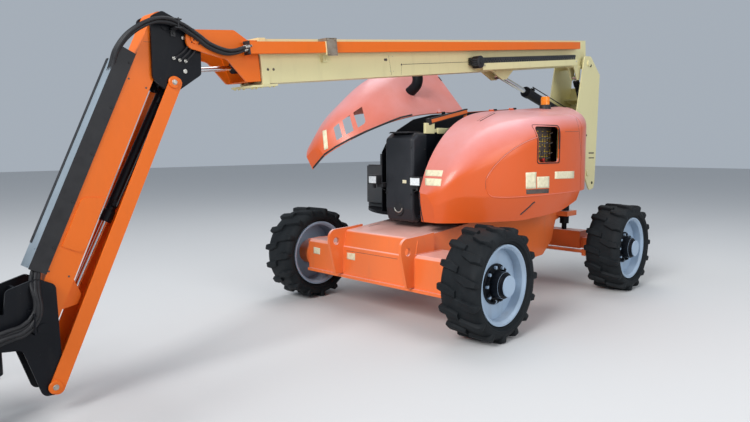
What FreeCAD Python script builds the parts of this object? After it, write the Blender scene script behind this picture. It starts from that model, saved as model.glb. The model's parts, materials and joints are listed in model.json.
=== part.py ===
import FreeCAD, Part
import math
import os
from FreeCAD import Vector

# Articulating boom lift with a jib, parked with its booms stowed and its engine hood open.
# Millimetres. The origin is on the floor under the swing axis. +X points to the platform,
# +Y to the side with the tanks and the ground controls, +Z up.
# Side views are drawn as (x, z, corner radius) points and extruded across the machine.
# A boom's side view is drawn along it: (along, square to it, corner radius), from its pin.

# Fits: running gaps between pieces
PIN_FIT = 0.3
SIDE_FIT = 0.4
SLIDE_FIT = 0.3

# Wheels
WHEELBASE = 2440
TRACK = 2190
TYRE_D = 910
TYRE_W = 355
TREAD_D = 860
RIM_D = 640
RIM_SEAT_D = 600
RIM_WALL = 14
RIM_HALF = TYRE_W / 2 - 50
BEAD_FIT = 1.9
DISC_T = 14
DISC_OFFSET = 40
LUG_COUNT = 15
LUG_W = 50
LUG_SKEW = 20
HUB_R = 105
HUB_L = 150
STUD_COUNT = 9
STUD_CIRCLE = 275
AXLE_Z = TYRE_D / 2

# Chassis
FRAME_HALF_W = 430
FRAME_TOP = 815
FRAME_FRONT = WHEELBASE / 2 + 155
FRAME_BOTTOM = 325
AXLE_BOX_TOP = 617
AXLE_BOX_REAR = WHEELBASE / 2 - 235
AXLE_BOX_HALF = 930
LUG_PLATE_T = 26
LUG_PLATE_Y = 442
LIFT_HOLE_X = FRAME_FRONT + 85
LIFT_HOLE_R = 36
LIFT_HOLE_Z = 655
BEARING_R = 420
BEARING_H = 65

# Steer axle
STEER_X = -WHEELBASE / 2
STEER_BEAM_W = 180
STEER_BEAM_TOP = 590
STEER_BEAM_H = 190
AXLE_PIN_Z = 590
AXLE_PIN_R = 34
ARM_Z = 745
LOCKOUT_Y = 470
LOCKOUT_R = 50
KINGPIN_Y = 815
KINGPIN_R = 38
EYE_HALF = 70
STEER_ARM = 200
STEER_CYL_X = STEER_X - 170
STEER_CYL_Y = -150
STEER_CYL_Z = AXLE_Z + 35

# Turntable
DECK_Z = FRAME_TOP + BEARING_H
DECK_T = 25
DECK_R = 1035
DECK_FRONT = 1000
DECK_HALF = 830
TAIL_R = (930, 1120)
DECK_TOP = DECK_Z + DECK_T
SPINE_Y = 150
SPINE_T = 20
WALL_Y = 312
WALL_T = 8
WALL_INSET = 6
WALL_FRONT = 960
COVER_HALF = 170
COVER_REAR = 880
COWL_BOTTOM = 1095
BEACON = (-840, 405, 1960)

# Hoods
HOOD_INNER = 330
HOOD_BOTTOM = 870
HOOD_FRONT = 1172
HOOD_REAR = 1310
HOOD_ROOF_X = 200
HOOD_TOP_FRONT = 1862
HOOD_TOP_REAR = 1975
HOOD_CREASE = 1100
HOOD_WALL = 12
HOOD_SPLIT = -385
HOOD_GAP = 8
HOOD_OPEN = 57
HINGE_X = (-380, -20)
HINGE_RISE = 10
CONTROL_WINDOW = (75, 368, 1385, 1702)
EXHAUST = (270, -640, 1815)
EXHAUST_R = 55

# Each louvre's foot and its length across the hood
LOUVRES = ((1100, 200), (1215, 240), (1330, 270))

# A hood's nose, section by section: place, height and reach across, the roof's fall to the side,
# the shoulder's radius, and how far the side tucks in below its crease
HOOD_NOSE = ((HOOD_FRONT, 1125, 430, 10, 40, 70), (1120, 1255, 572, 25, 85, 62), (1030, 1412, 675, 40, 140, 66),
             (905, 1560, 770, 60, 210, 72), (740, 1695, 876, 75, 260, 76), (500, 1806, 985, 85, 250, 80),
             (HOOD_ROOF_X, HOOD_TOP_FRONT, 1050, 85, 200, 80))

# The rest of it, under the straight roof line: the same without the height
HOOD_BODY = ((-200, 1068, 85, 170, 80), (-520, 1022, 80, 160, 80), (-850, 860, 60, 150, 60),
             (-1180, 630, 40, 120, 35), (-HOOD_REAR, 500, 25, 80, 20))

# Upright and main boom: pins in the side view, then places along and square to the boom
MAIN_PIN = (-2270, 2560)
MAIN_SLOPE = -6.5
MAIN_W = 270
MAIN_BOTTOM = -23
MAIN_DEPTH = 307
MAIN_END = 4960
MAIN_WALL = 8
FLY_GAP = 9
FLY_START = 380
FLY_END = 5075
LIFT_EAR = (1740, -74)
MASTER_EAR = (189, -160)
SLAVE_FOOT = (4350, 118)
PUSH_BOX = (152, 212, 178, 258)
PUSH_U = (240, 5085)
GUIDE_U = (4300, 4400)
TRAY_U = (350, 2360)
TRAY_Y = 226
TRAY_N = 10
UPRIGHT_INNER = 184
UPRIGHT_T = 16
UPRIGHT_PIN_R = 40
BOOM_PIN_R = 38
MAIN_CYL_FOOT = (-2250, 1865)
MASTER_FOOT = (-2330, 2000)
MASTER_Y = 110

# Tower
TOWER_TIP = (-2330, 1180)
TOWER_PIN = (720, 1420)
TOWER_PIN_R = 45
TOWER_W = 260
TOWER_DEPTH = 290
TOWER_WALL = 10
TOWER_MOUTH = 620
TOWER_FLY_L = 2700
TOWER_CYL_FOOT = (640, 1010)
EAR_U = 2109
EAR_DROP = 235

# Jib
FLY_PIN = (3175, 2225)
FLY_PIN_R = 32
SLAVE_PIN = (3165, 2035)
JIB_TOP = (3362, 2288)
LINK_TOP = (3320, 1940)
JIB_RUN = (800, -1770)
JIB_PIN_R = 30
LINK_PIN_R = 25
BRACKET_HALF = 85
BRACKET_T = 16
JIB_W = 150
JIB_UNDER = -70
JIB_OVER = 85
JIB_EAR = (1740, -125)
LINK_W = 2 * (BRACKET_HALF + BRACKET_T + 4 + 8)
LINK_T = 8
LINK_WEB = (230, 130)
LINK_UNDER = -56
LINK_OVER = 30
JIB_FOOT = (JIB_TOP[0] + JIB_RUN[0], JIB_TOP[1] + JIB_RUN[1])
LINK_FOOT = (LINK_TOP[0] + JIB_RUN[0], LINK_TOP[1] + JIB_RUN[1])

# Platform
ROTATOR_X = JIB_FOOT[0] + 275
ROTATOR_Z = (290, 640)
ROTATOR_R = 30
PLATFORM_BACK = 4800
PLATFORM_W = 2440
PLATFORM_D = 915
PLATFORM_FLOOR = 325
FLOOR_T = 6
RAIL_H = 1100
RAIL_R = 19
GATE_HALF = 345


def outline(points):
    """Closed wire in the side view through (x, z, corner radius) points."""
    corners = [Vector(x, 0, z) for x, z, _ in points]
    arcs = []
    for index, corner in enumerate(corners):
        radius = points[index][2]
        if not radius:
            arcs.append((corner, corner, corner))
            continue
        back = (corners[index - 1] - corner).normalize()
        ahead = (corners[(index + 1) % len(corners)] - corner).normalize()
        half = back.getAngle(ahead) / 2
        reach = radius / math.tan(half)
        middle = (back + ahead).normalize() * (radius / math.sin(half) - radius)
        arcs.append((corner + back * reach, corner + middle, corner + ahead * reach))
    edges = []
    for index, (start, middle, end) in enumerate(arcs):
        if points[index][2]:
            edges.append(Part.Arc(start, middle, end).toShape())
        following = arcs[(index + 1) % len(arcs)][0]
        if (following - end).Length > 1e-4:
            edges.append(Part.LineSegment(end, following).toShape())
    return Part.Wire(edges)


def set_in(shape, pin, slope):
    """Turns a shape drawn along +X to its slope and moves it to its pin."""
    shape.rotate(Vector(), Vector(0, -1, 0), slope)
    shape.translate(Vector(pin[0], 0, pin[1]))
    return shape


def plate(points, y0, y1, pin=(0, 0), slope=0):
    """Side view extruded from y0 to y1."""
    rows = [point if len(point) == 3 else (point[0], point[1], 0) for point in points]
    shape = Part.Face(outline(rows)).extrude(Vector(0, y1 - y0, 0))
    shape.translate(Vector(0, y0, 0))
    return set_in(shape, pin, slope)


def block(x0, x1, y0, y1, z0, z1, pin=(0, 0), slope=0):
    shape = Part.makeBox(x1 - x0, y1 - y0, z1 - z0, Vector(x0, y0, z0))
    return set_in(shape, pin, slope)


def rod_y(x, z, radius, y0, y1, pin=(0, 0), slope=0):
    """Cylinder across the machine."""
    shape = Part.makeCylinder(radius, y1 - y0, Vector(x, y0, z), Vector(0, 1, 0))
    return set_in(shape, pin, slope)


def rod_x(x0, x1, y, z, radius, pin=(0, 0), slope=0):
    """Cylinder along a boom."""
    shape = Part.makeCylinder(radius, x1 - x0, Vector(x0, y, z), Vector(1, 0, 0))
    return set_in(shape, pin, slope)


def rod_z(x, y, radius, z0, z1):
    return Part.makeCylinder(radius, z1 - z0, Vector(x, y, z0), Vector(0, 0, 1))


def tube(start, end, radius):
    """Round bar between two points."""
    start, end = Vector(*start), Vector(*end)
    return Part.makeCylinder(radius, (end - start).Length, start, end - start)


def join(*shapes):
    first, rest = shapes[0], list(shapes[1:])
    return first.fuse(rest).removeSplitter() if rest else first


def cut(shape, *tools):
    return shape.cut(list(tools)).removeSplitter()


def both(make, *args):
    """The same piece on both sides of the machine: make(side) with side +1 and -1."""
    return [make(side, *args) for side in (1, -1)]


def span(side, y0, y1):
    """Sorted y limits of a piece that is drawn for the +Y side."""
    return (y0, y1) if side > 0 else (-y1, -y0)


def save(shape, node):
    shape.exportStep("parts/" + node + ".step")


def bearing_of(start, end):
    """Length and slope of the line between two side-view points."""
    run, rise = end[0] - start[0], end[1] - start[1]
    return math.hypot(run, rise), math.degrees(math.atan2(rise, run))


def along(pin, slope, place):
    """Side-view point of a place given along and square to a sloping line."""
    angle = math.radians(slope)
    u, n = place
    return (pin[0] + u * math.cos(angle) - n * math.sin(angle), pin[1] + u * math.sin(angle) + n * math.cos(angle))


def into(pin, slope, point):
    """The same place the other way round: along and square to the line."""
    angle = math.radians(slope)
    x, z = point[0] - pin[0], point[1] - pin[1]
    return (x * math.cos(angle) + z * math.sin(angle), z * math.cos(angle) - x * math.sin(angle))


# Hydraulic cylinders

def barrel(start, end, length, radius, rod_radius, y=0, pin_r=20):
    """Barrel with its eye at the start pin, bored for the rod."""
    _, slope = bearing_of(start, end)
    eye_r = pin_r + 18
    body = join(rod_x(eye_r * 0.6, length, y, 0, radius),
                rod_x(length - 60, length, y, 0, radius + 7),
                rod_y(0, 0, eye_r, y - eye_r, y + eye_r))
    port = Part.makeCylinder(9, radius + 16, Vector(eye_r * 0.6 + 50, y, 0), Vector(0, 0, 1))
    body = join(body, port)
    body = cut(body, rod_y(0, 0, pin_r + PIN_FIT, y - 100, y + 100),
               rod_x(eye_r + 25, length + 1, y, 0, rod_radius + SLIDE_FIT))
    return set_in(body, start, slope)


def piston_rod(start, end, inside, rod_radius, y=0, pin_r=20):
    """Rod from inside the barrel to its own eye, with the eye's pin."""
    length, slope = bearing_of(start, end)
    eye_r = pin_r + 14
    body = join(rod_x(inside, length - eye_r * 0.5, y, 0, rod_radius),
                rod_y(length, 0, eye_r, y - eye_r, y + eye_r),
                rod_y(length, 0, pin_r, y - eye_r - 2, y + eye_r + 2))
    return set_in(body, start, slope)


# Wheels

def lug(side):
    """One tread bar, from the tyre's middle over its shoulder, drawn at the top of the tyre."""
    half, inner, skew = LUG_W / 2, TREAD_D / 2 - 26, LUG_SKEW
    points = ((-half - skew, 0), (half - skew, 0), (half + skew, 92), (half + skew, TYRE_W / 2),
              (-half + skew, TYRE_W / 2))
    wire = Part.makePolygon([Vector(x, y * side, inner) for x, y in points + points[:1]])
    return Part.Face(wire).extrude(Vector(0, 0, lug_top() - inner))


def lug_top():
    """Height of a bar's flat top over the axle, where its corners lie on the tyre's diameter."""
    return math.sqrt((TYRE_D / 2) ** 2 - (LUG_W / 2 + LUG_SKEW) ** 2)


def faceted_ring(section, count):
    """Ring of flat facets about the Y axis through a closed (radius, y) section."""
    rings = []
    for index in range(count):
        angle = (index + 0.5) * math.tau / count
        rings.append([Vector(r * math.sin(angle), y, r * math.cos(angle)) for r, y in section])
    faces = []
    for one, two in zip(rings, rings[1:] + rings[:1]):
        for a, b, c, d in zip(one, one[1:] + one[:1], two[1:] + two[:1], two):
            faces.append(Part.Face(Part.makePolygon([a, b, c, d, a])))
    return Part.makeSolid(Part.makeShell(faces))


def tyre():
    """Lug tyre on the Y axis: a faceted carcass with tread bars in two staggered rows."""
    bead, flange = RIM_SEAT_D / 2 + BEAD_FIT, RIM_D / 2 + BEAD_FIT
    shoulder, crown, half = TYRE_D / 2 - 55, TREAD_D / 2, TYRE_W / 2
    edge = ((bead, RIM_HALF - 2), (flange, RIM_HALF + 5), (shoulder - 50, half - 2), (crown, half - 50))
    section = list(edge) + [(r, -y) for r, y in reversed(edge)]
    carcass = faceted_ring(section, 2 * LUG_COUNT)
    bars = []
    for index in range(LUG_COUNT):
        for side, stagger in ((1, 0), (-1, 0.5)):
            bar = lug(side)
            bar.rotate(Vector(), Vector(0, 1, 0), (index + stagger) * 360 / LUG_COUNT)
            bars.append(bar)
    shape = carcass.fuse(bars)
    shape.rotate(Vector(), Vector(0, 1, 0), math.degrees(math.acos(lug_top() / (TYRE_D / 2))))
    return shape


def rim(side):
    """Deep rim with its disc near the inner edge, the gear hub and the wheel nuts."""
    seat, half = RIM_SEAT_D / 2, RIM_HALF
    flange = RIM_D / 2
    well = seat - RIM_WALL
    section = ((seat, -half), (seat, half), (flange, half + 6), (flange, half + 20), (flange - 16, half + 20),
               (well, half), (well, -half), (flange - 16, -half - 20), (flange, -half - 20),
               (flange, -half - 6))
    points = [Vector(r, y, 0) for r, y in section]
    barrel_part = Part.Face(Part.makePolygon(points + points[:1])).revolve(Vector(), Vector(0, 1, 0), 360)
    disc_y = DISC_OFFSET
    disc = rod_y(0, 0, well + 1, disc_y, disc_y + DISC_T)
    hub = join(rod_y(0, 0, HUB_R, disc_y - 4, disc_y + HUB_L - 40),
               rod_y(0, 0, HUB_R - 22, disc_y - 4, disc_y + HUB_L),
               rod_y(0, 0, HUB_R + 55, disc_y + DISC_T, disc_y + DISC_T + 12))
    nuts = []
    for index in range(STUD_COUNT):
        angle = math.radians(index * 360 / STUD_COUNT)
        x, z = STUD_CIRCLE / 2 * math.cos(angle), STUD_CIRCLE / 2 * math.sin(angle)
        nuts.append(rod_y(x, z, 13, disc_y + DISC_T, disc_y + DISC_T + 34))
    shape = join(barrel_part, disc, hub, *nuts)
    if side < 0:
        shape.rotate(Vector(), Vector(0, 0, 1), 180)
    return shape


def wheels():
    wheel_tyre = tyre()
    for axle, x in (("drive", WHEELBASE / 2), ("steer", -WHEELBASE / 2)):
        for name, side in (("tank", 1), ("engine", -1)):
            centre = Vector(x, side * TRACK / 2, AXLE_Z)
            placed = wheel_tyre.copy()
            placed.translate(centre)
            save(placed, "tyre_" + axle + "_" + name)
            placed = rim(side)
            placed.translate(centre)
            save(placed, "rim_" + axle + "_" + name)


# Chassis

def lug_plate(side):
    """Tie-down plate with its lifting hole, on the front of the drive axle."""
    y = span(side, LUG_PLATE_Y - LUG_PLATE_T / 2, LUG_PLATE_Y + LUG_PLATE_T / 2)
    front = FRAME_FRONT
    points = ((front - 60, 345, 0), (front + 95, 345, 12), (front + 172, 650, 80), (front + 168, 765, 78),
              (front - 120, 775, 40), (front - 260, FRAME_TOP - 30, 0), (front - 260, 345, 0))
    hole = rod_y(LIFT_HOLE_X, LIFT_HOLE_Z, LIFT_HOLE_R, y[0] - 1, y[1] + 1)
    return cut(plate(points, *y), hole)


def drive_end(side):
    """Gear hub carrier between the axle box and the rim's disc."""
    y = span(side, AXLE_BOX_HALF, TRACK / 2 + DISC_OFFSET - 4.4)
    flange = span(side, AXLE_BOX_HALF, AXLE_BOX_HALF + 30)
    return join(rod_y(WHEELBASE / 2, AXLE_Z, 120, *y), rod_y(WHEELBASE / 2, AXLE_Z, 165, *flange))


def chassis_frame():
    """Welded frame: drive axle box, sloped centre section, and the arms over the steer axle."""
    half, front = FRAME_HALF_W, FRAME_FRONT
    profile = ((front, FRAME_BOTTOM, 0), (front, 557, 0), (front - 45, 747, 25), (560, FRAME_TOP, 0),
               (-560, FRAME_TOP, 0), (STEER_X - 110, FRAME_TOP - 15, 0), (STEER_X - 110, ARM_Z, 0),
               (STEER_X + 130, ARM_Z - 45, 30), (STEER_X + 210, 480, 60), (STEER_X + 400, FRAME_BOTTOM + 12, 60), (-500, FRAME_BOTTOM, 0))
    core = plate(profile, -half, half)
    top, low, rear = AXLE_BOX_TOP, FRAME_BOTTOM + 5, AXLE_BOX_REAR
    box_profile = ((rear, low), (front, low), (front, top - 25, 12), (front - 25, top, 12), (rear, top))
    axle_box = plate(box_profile, -AXLE_BOX_HALF, AXLE_BOX_HALF)
    lip = block(rear - 20, front + 20, -AXLE_BOX_HALF, AXLE_BOX_HALF, low - 26, low)
    arms = block(STEER_X - 110, STEER_X + 110, -LOCKOUT_Y - 90, LOCKOUT_Y + 90, ARM_Z, FRAME_TOP - 15)
    half_beam = STEER_BEAM_W / 2
    hangers = [block(x, x + 22, -110, 110, 530, ARM_Z + 5)
               for x in (STEER_X - half_beam - 10 - 22 - SIDE_FIT, STEER_X + half_beam + 10 + SIDE_FIT)]
    pin = rod_x(STEER_X - half_beam - 50, STEER_X + half_beam + 50, 0, AXLE_PIN_Z, AXLE_PIN_R)
    frame = join(core, axle_box, lip, arms, *hangers, pin, *both(lug_plate), *both(drive_end))
    wells = [rod_z(STEER_X, side * LOCKOUT_Y, LOCKOUT_R + PIN_FIT, ARM_Z - 60, FRAME_TOP) for side in (1, -1)]
    return cut(frame, *wells)


def steer_axle():
    """Oscillating beam with a kingpin eye at each end and the steering cylinder's bracket."""
    low, high = STEER_BEAM_TOP - STEER_BEAM_H, STEER_BEAM_TOP
    half, inner = STEER_BEAM_W / 2, KINGPIN_Y - 110
    beam = block(STEER_X - half, STEER_X + half, -inner, inner, low, high)
    boss = rod_x(STEER_X - half - 10, STEER_X + half + 10, 0, AXLE_PIN_Z, AXLE_PIN_R + 35)
    necks = [block(STEER_X - 42, STEER_X + 42, *span(side, inner - 1, KINGPIN_Y), low, AXLE_Z + EYE_HALF - 8)
             for side in (1, -1)]
    eyes = [rod_z(STEER_X, side * KINGPIN_Y, KINGPIN_R + 24, AXLE_Z - EYE_HALF, AXLE_Z + EYE_HALF)
            for side in (1, -1)]
    bracket = join(block(STEER_CYL_X - 36, STEER_X - half + 1, STEER_CYL_Y - 26, STEER_CYL_Y + 26,
                         STEER_CYL_Z + 40.4, STEER_CYL_Z + 58),
                   block(STEER_CYL_X - 36, STEER_X - half + 1, STEER_CYL_Y - 26, STEER_CYL_Y + 26,
                         STEER_CYL_Z - 58, STEER_CYL_Z - 40.4),
                   rod_z(STEER_CYL_X, STEER_CYL_Y, 20, STEER_CYL_Z - 58, STEER_CYL_Z + 58))
    axle = join(beam, boss, *necks, *eyes, bracket)
    bores = [rod_z(STEER_X, side * KINGPIN_Y, KINGPIN_R + PIN_FIT, 0, 1000) for side in (1, -1)]
    hole = rod_x(STEER_X - 300, STEER_X + 300, 0, AXLE_PIN_Z, AXLE_PIN_R + PIN_FIT)
    return cut(axle, *bores, hole)


def lockout_cylinders():
    """Pair of cylinders that hold the steer axle level, seated in the frame's arms."""
    rows = []
    for side in (1, -1):
        y = side * LOCKOUT_Y
        rows.append(join(rod_z(STEER_X, y, LOCKOUT_R, ARM_Z - 90, DECK_Z - 18),
                         rod_z(STEER_X, y, LOCKOUT_R * 0.55, STEER_BEAM_TOP, ARM_Z - 90)))
    return Part.makeCompound(rows)


def swing_bearing():
    ring = rod_z(0, 0, BEARING_R, FRAME_TOP, DECK_Z)
    return cut(ring, rod_z(0, 0, BEARING_R - 110, FRAME_TOP - 1, DECK_Z + 1))


def knuckle(side):
    """Fork on the kingpin, hub carrier, tie-rod arm, and on one side the cylinder's arm."""
    y = side * KINGPIN_Y
    outer = side * (KINGPIN_Y + 95)
    half, plate_t = EYE_HALF + 4, 32
    forks = []
    for z0, z1 in ((AXLE_Z + half, AXLE_Z + half + plate_t), (AXLE_Z - half - plate_t, AXLE_Z - half)):
        forks.append(rod_z(STEER_X, y, KINGPIN_R + 24, z0, z1))
        forks.append(block(STEER_X - KINGPIN_R - 24, STEER_X + KINGPIN_R + 24,
                           *span(side, KINGPIN_Y, KINGPIN_Y + 95), z0, z1))
    web = block(STEER_X - KINGPIN_R - 24, STEER_X + KINGPIN_R + 24, *span(side, KINGPIN_Y + 68, KINGPIN_Y + 95),
                AXLE_Z - half - plate_t, AXLE_Z + half + plate_t)
    carrier = rod_y(STEER_X, AXLE_Z, 118, *span(side, KINGPIN_Y + 90, TRACK / 2 + DISC_OFFSET - 4.4))
    kingpin = rod_z(STEER_X, y, KINGPIN_R, AXLE_Z - half - plate_t, AXLE_Z + half + plate_t)
    low = AXLE_Z - half - plate_t
    arm = join(block(STEER_X, STEER_X + STEER_ARM, *sorted((y - 28, y + 28)), low, low + 20),
               rod_z(STEER_X + STEER_ARM, y, 28, low, low + 20))
    arm = cut(arm, rod_z(STEER_X + STEER_ARM, y, 14 + PIN_FIT, low - 1, low + 21))
    pieces = [*forks, web, carrier, kingpin, arm]
    if side < 0:
        high = AXLE_Z + half
        pieces.append(block(STEER_CYL_X, STEER_X, y - 30, y + 30, high, high + 22))
        pieces.append(rod_z(STEER_CYL_X, y, 30, high, high + 22))
    return join(*pieces)


def tie_rod():
    x, z = STEER_X + STEER_ARM, AXLE_Z - EYE_HALF - 4 - 32 + 20
    bar = Part.makeCylinder(20, 2 * KINGPIN_Y, Vector(x, -KINGPIN_Y, z + 24), Vector(0, 1, 0))
    ends = []
    for side in (1, -1):
        ends.append(rod_z(x, side * KINGPIN_Y, 30, z + 1, z + 47))
        ends.append(rod_z(x, side * KINGPIN_Y, 14, z - 24, z + 20))
    return join(bar, *ends)


def steer_cylinder():
    """Barrel on the beam and rod to the far knuckle's arm, lying across the machine."""
    length = KINGPIN_Y + STEER_CYL_Y

    def laid(shape):
        shape.rotate(Vector(), Vector(1, 0, 0), 90)
        shape.rotate(Vector(), Vector(0, 0, 1), -90)
        shape.translate(Vector(STEER_CYL_X, STEER_CYL_Y, STEER_CYL_Z))
        return shape

    body = laid(barrel((0, 0), (length, 0), 430, 34, 17))
    return body, laid(piston_rod((0, 0), (length, 0), 172, 17, pin_r=14))


# Turntable

def spine(side):
    """Side plate of the tower's frame."""
    y = span(side, SPINE_Y, SPINE_Y + SPINE_T)
    px, pz = TOWER_PIN
    points = ((-880, DECK_TOP - 1), (COVER_REAR - 0.3, DECK_TOP - 1), (COVER_REAR - 0.3, pz + 238, 10),
              (px - 95, pz + 238, 40), (px - 160, pz - 60, 80), (-700, 1060, 120), (-880, 1010, 40))
    return plate(points, *y)


def wall(side):
    """Inner wall of a hood bay, which carries the hood's hinges."""
    y = span(side, WALL_Y, WALL_Y + WALL_T)
    rear = -HOOD_REAR + 20
    dome = [(x, z - WALL_INSET) for x, z, *_ in HOOD_NOSE if x < WALL_FRONT]
    nose = [(WALL_FRONT, DECK_TOP - 1), (WALL_FRONT, dome[0][1] - 80)]
    return plate([(rear, DECK_TOP - 1)] + nose + dome + [(rear, roof(rear) - WALL_INSET)], *y)


def deck():
    """Round deck with flat sides, trimmed at the tail's corners to stay under the hoods."""
    round_deck = rod_z(0, 0, DECK_R, DECK_Z, DECK_TOP)
    sides = block(-DECK_R, DECK_FRONT, -DECK_HALF, DECK_HALF, DECK_Z, DECK_TOP)
    corners = []
    for side in (1, -1):
        rows = [Vector(x, y * side, DECK_Z - 1) for x, y in ((-274, 900), (-1105, 500), (-1105, 900), (-274, 900))]
        corners.append(Part.Face(Part.makePolygon(rows)).extrude(Vector(0, 0, DECK_T + 2)))
    return cut(round_deck.common(sides), *corners)


def turntable_frame():
    notch = block(COVER_REAR - 2, DECK_R, -COVER_HALF - 3, COVER_HALF + 3, DECK_Z - 1, DECK_TOP + 1)
    floor_hole = rod_z(0, 0, BEARING_R - 130, DECK_Z - 1, DECK_TOP + 1)
    px, pz = TOWER_PIN
    pins = [rod_y(px, pz, TOWER_PIN_R, -SPINE_Y - SPINE_T - 14, SPINE_Y + SPINE_T + 14),
            rod_y(*TOWER_CYL_FOOT, 25, -SPINE_Y - 1, SPINE_Y + 1)]
    ribs = [block(x, x + 12, *span(side, SPINE_Y + SPINE_T - 1, WALL_Y + 1), DECK_TOP - 1, 1150)
            for side in (1, -1) for x in (-700, 0, 600)]
    hinges = [hood_knuckle(side, x, 60, True) for side in (1, -1) for x in HINGE_X]
    tail = block(-940, -880, -WALL_Y - WALL_T, WALL_Y + WALL_T, DECK_TOP - 1, 1010)
    frame = join(cut(deck(), floor_hole, notch), *both(spine), *both(wall), *pins, *ribs, tail)
    return join(frame, *hinges)


def front_cover():
    """Moulded cover over the valves at the turntable's nose, with its hand hole."""
    points = ((COVER_REAR, 905), (990, 835, 10), (1045, 850, 25), (1072, 960, 60), (1075, 1600, 45),
              (1000, 1652, 40), (COVER_REAR, 1652))
    cover = plate(points, -COVER_HALF, COVER_HALF)
    edges = [edge for edge in cover.Edges
             if abs(abs(edge.CenterOfMass.y) - COVER_HALF) < 1 and edge.CenterOfMass.x > 1000 and edge.Length > 200]
    cover = cover.makeFillet(32, edges)
    slot = rod_x(1050, 1100, 0, 935, 46).cut(block(1040, 1110, -60, 60, 930, 1000))
    return cut(cover, slot)


def work_lamps():
    lamps = []
    for side in (1, -1):
        y = span(side, 228, 308)
        housing = block(1085, 1150, *y, 1190, 1262)
        hood_lip = block(1150, 1162, *y, 1254, 1262)
        lens = block(1150, 1156, *span(side, 234, 302), 1196, 1254)
        stalk = block(1000, 1100, *span(side, COVER_HALF, 245), 1150, 1192)
        lamps.append(join(housing, hood_lip, lens, stalk))
    return Part.makeCompound(lamps)


# Hoods

def roof(x):
    """Height of the hood's straight roof line at its inner edge."""
    return HOOD_TOP_FRONT + (HOOD_ROOF_X - x) * (HOOD_TOP_REAR - HOOD_TOP_FRONT) / (HOOD_ROOF_X + HOOD_REAR)


def hood_rows():
    return list(HOOD_NOSE) + [(x, roof(x), *rest) for x, *rest in HOOD_BODY]


def hood_solid(inner_y, inset=0):
    """Loft along the +Y side through upright sections, nose undercut."""
    wires = []
    low = HOOD_BOTTOM - (40 if inset else 0)
    inner = inner_y - (30 if inset else 0)
    rows = hood_rows()
    for x, top, outer, fall, radius, tuck in rows:
        crease = min(HOOD_CREASE, (HOOD_BOTTOM + top) / 2)
        outer, top = outer - inset, top - inset
        points = ((inner, low, 0), (inner, top, 0), (outer, top - fall, radius - inset / 2), (outer, crease, 60),
                  (outer - tuck, low, 0))
        wire = outline(points)
        wire.rotate(Vector(), Vector(0, 0, 1), 90)
        wire.translate(Vector(min(max(x, inset - HOOD_REAR), HOOD_FRONT - inset), 0, 0))
        wires.append(wire)
    body = Part.makeLoft(wires, True, False)
    front = HOOD_FRONT + 0.5 - inset
    nose = plate(((front, 1260, 0), (front, 1080, 400), (front - 38, low - 1, 0), (1300, low - 1, 0),
                  (1300, 1260, 0)),
                 0, 2000)
    return body.cut(nose)


def hood_shell(inner_y):
    return hood_solid(inner_y).cut(hood_solid(inner_y, HOOD_WALL))


def mirrored(shape):
    return shape.mirror(Vector(), Vector(0, 1, 0))


def hinge_direction():
    fall = (HOOD_TOP_REAR - HOOD_TOP_FRONT) / (HOOD_ROOF_X + HOOD_REAR)
    return Vector(1, 0, -fall)


def hinge_point(x):
    """Point of the tank hood's hinge line."""
    fall = -hinge_direction().z
    return Vector(x, HOOD_INNER - 5, HOOD_TOP_FRONT + HINGE_RISE + (HOOD_ROOF_X - x) * fall)


def hood_knuckle(side, x, length, fixed):
    """Half of a hinge: the fixed half sits on the wall, the other half on the hood."""
    start = hinge_point(x if fixed else x + length + SIDE_FIT)
    shape = Part.makeCylinder(9, length, start, hinge_direction())
    if fixed:
        leaf = Part.makeBox(length * 0.9, WALL_T, 60, Vector(start.x + 2, WALL_Y, start.z - 66))
    else:
        leaf = Part.makeBox(length * 0.9, 16, 9, Vector(start.x + 2, start.y, start.z - 12))
    shape = join(shape, leaf)
    return shape if side > 0 else mirrored(shape)


def hood():
    """Opening front part of a hood, closed, for the +Y side."""
    front = block(HOOD_SPLIT, 2000, 0, 2000, 0, 3000)
    hem = plate(((470, HOOD_BOTTOM - 1), (-80, 915), (HOOD_SPLIT - 1, 1005), (HOOD_SPLIT - 1, HOOD_BOTTOM - 1)),
                0, 2000)
    shell = hood_shell(HOOD_INNER).common(front).cut(hem)
    return join(shell, *[hood_knuckle(1, x, 60, False) for x in HINGE_X])


def tank_hood():
    """Hood over the tanks, with the window of the ground controls."""
    x0, x1, z0, z1 = CONTROL_WINDOW
    window = plate(((x0, z0, 40), (x1, z0, 40), (x1, z1, 40), (x0 - 15, z1, 40)), 600, 1300)
    return cut(hood(), window)


def engine_hood():
    """Hood over the engine, with its louvres, swung open about its inner edge."""
    slots = []
    for z, length in LOUVRES:
        y0 = 470
        slots.append(plate(((0, z, 0), (900, z, 0), (900, z + 78, 0), (0, z + 78, 0)), y0, y0 + length))
    shell = mirrored(hood().cut(Part.makeCompound([s.common(block(300, 1400, 0, 1300, 0, 2000)) for s in slots])))
    return opened(shell)


def opened(shape):
    point = hinge_point(0)
    shape.rotate(Vector(point.x, -point.y, point.z), hinge_direction(), -HOOD_OPEN)
    return shape


def exhaust_elbow():
    """Tail pipe on the engine hood's roof, bent outward."""
    x, y, low = EXHAUST
    z, bend_r = low + 60, 2 * EXHAUST_R
    riser = rod_z(x, y, EXHAUST_R, low - 30, z)
    bend = Part.makeTorus(bend_r, EXHAUST_R, Vector(x, y - bend_r, z), Vector(1, 0, 0), 0, 360)
    quarter = bend.common(block(x - 60, x + 60, y - bend_r, y + 60, z, z + 200))
    mouth = Part.makeCylinder(EXHAUST_R, 40, Vector(x, y - bend_r, z + bend_r), Vector(0, -1, 0))
    pipe = join(riser, quarter, mouth).cut(mirrored(hood_solid(HOOD_INNER)))
    bore = Part.makeCylinder(EXHAUST_R - 6, 100, Vector(x, y - bend_r - 30, z + bend_r), Vector(0, -1, 0))
    return opened(cut(pipe, bore))


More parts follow.
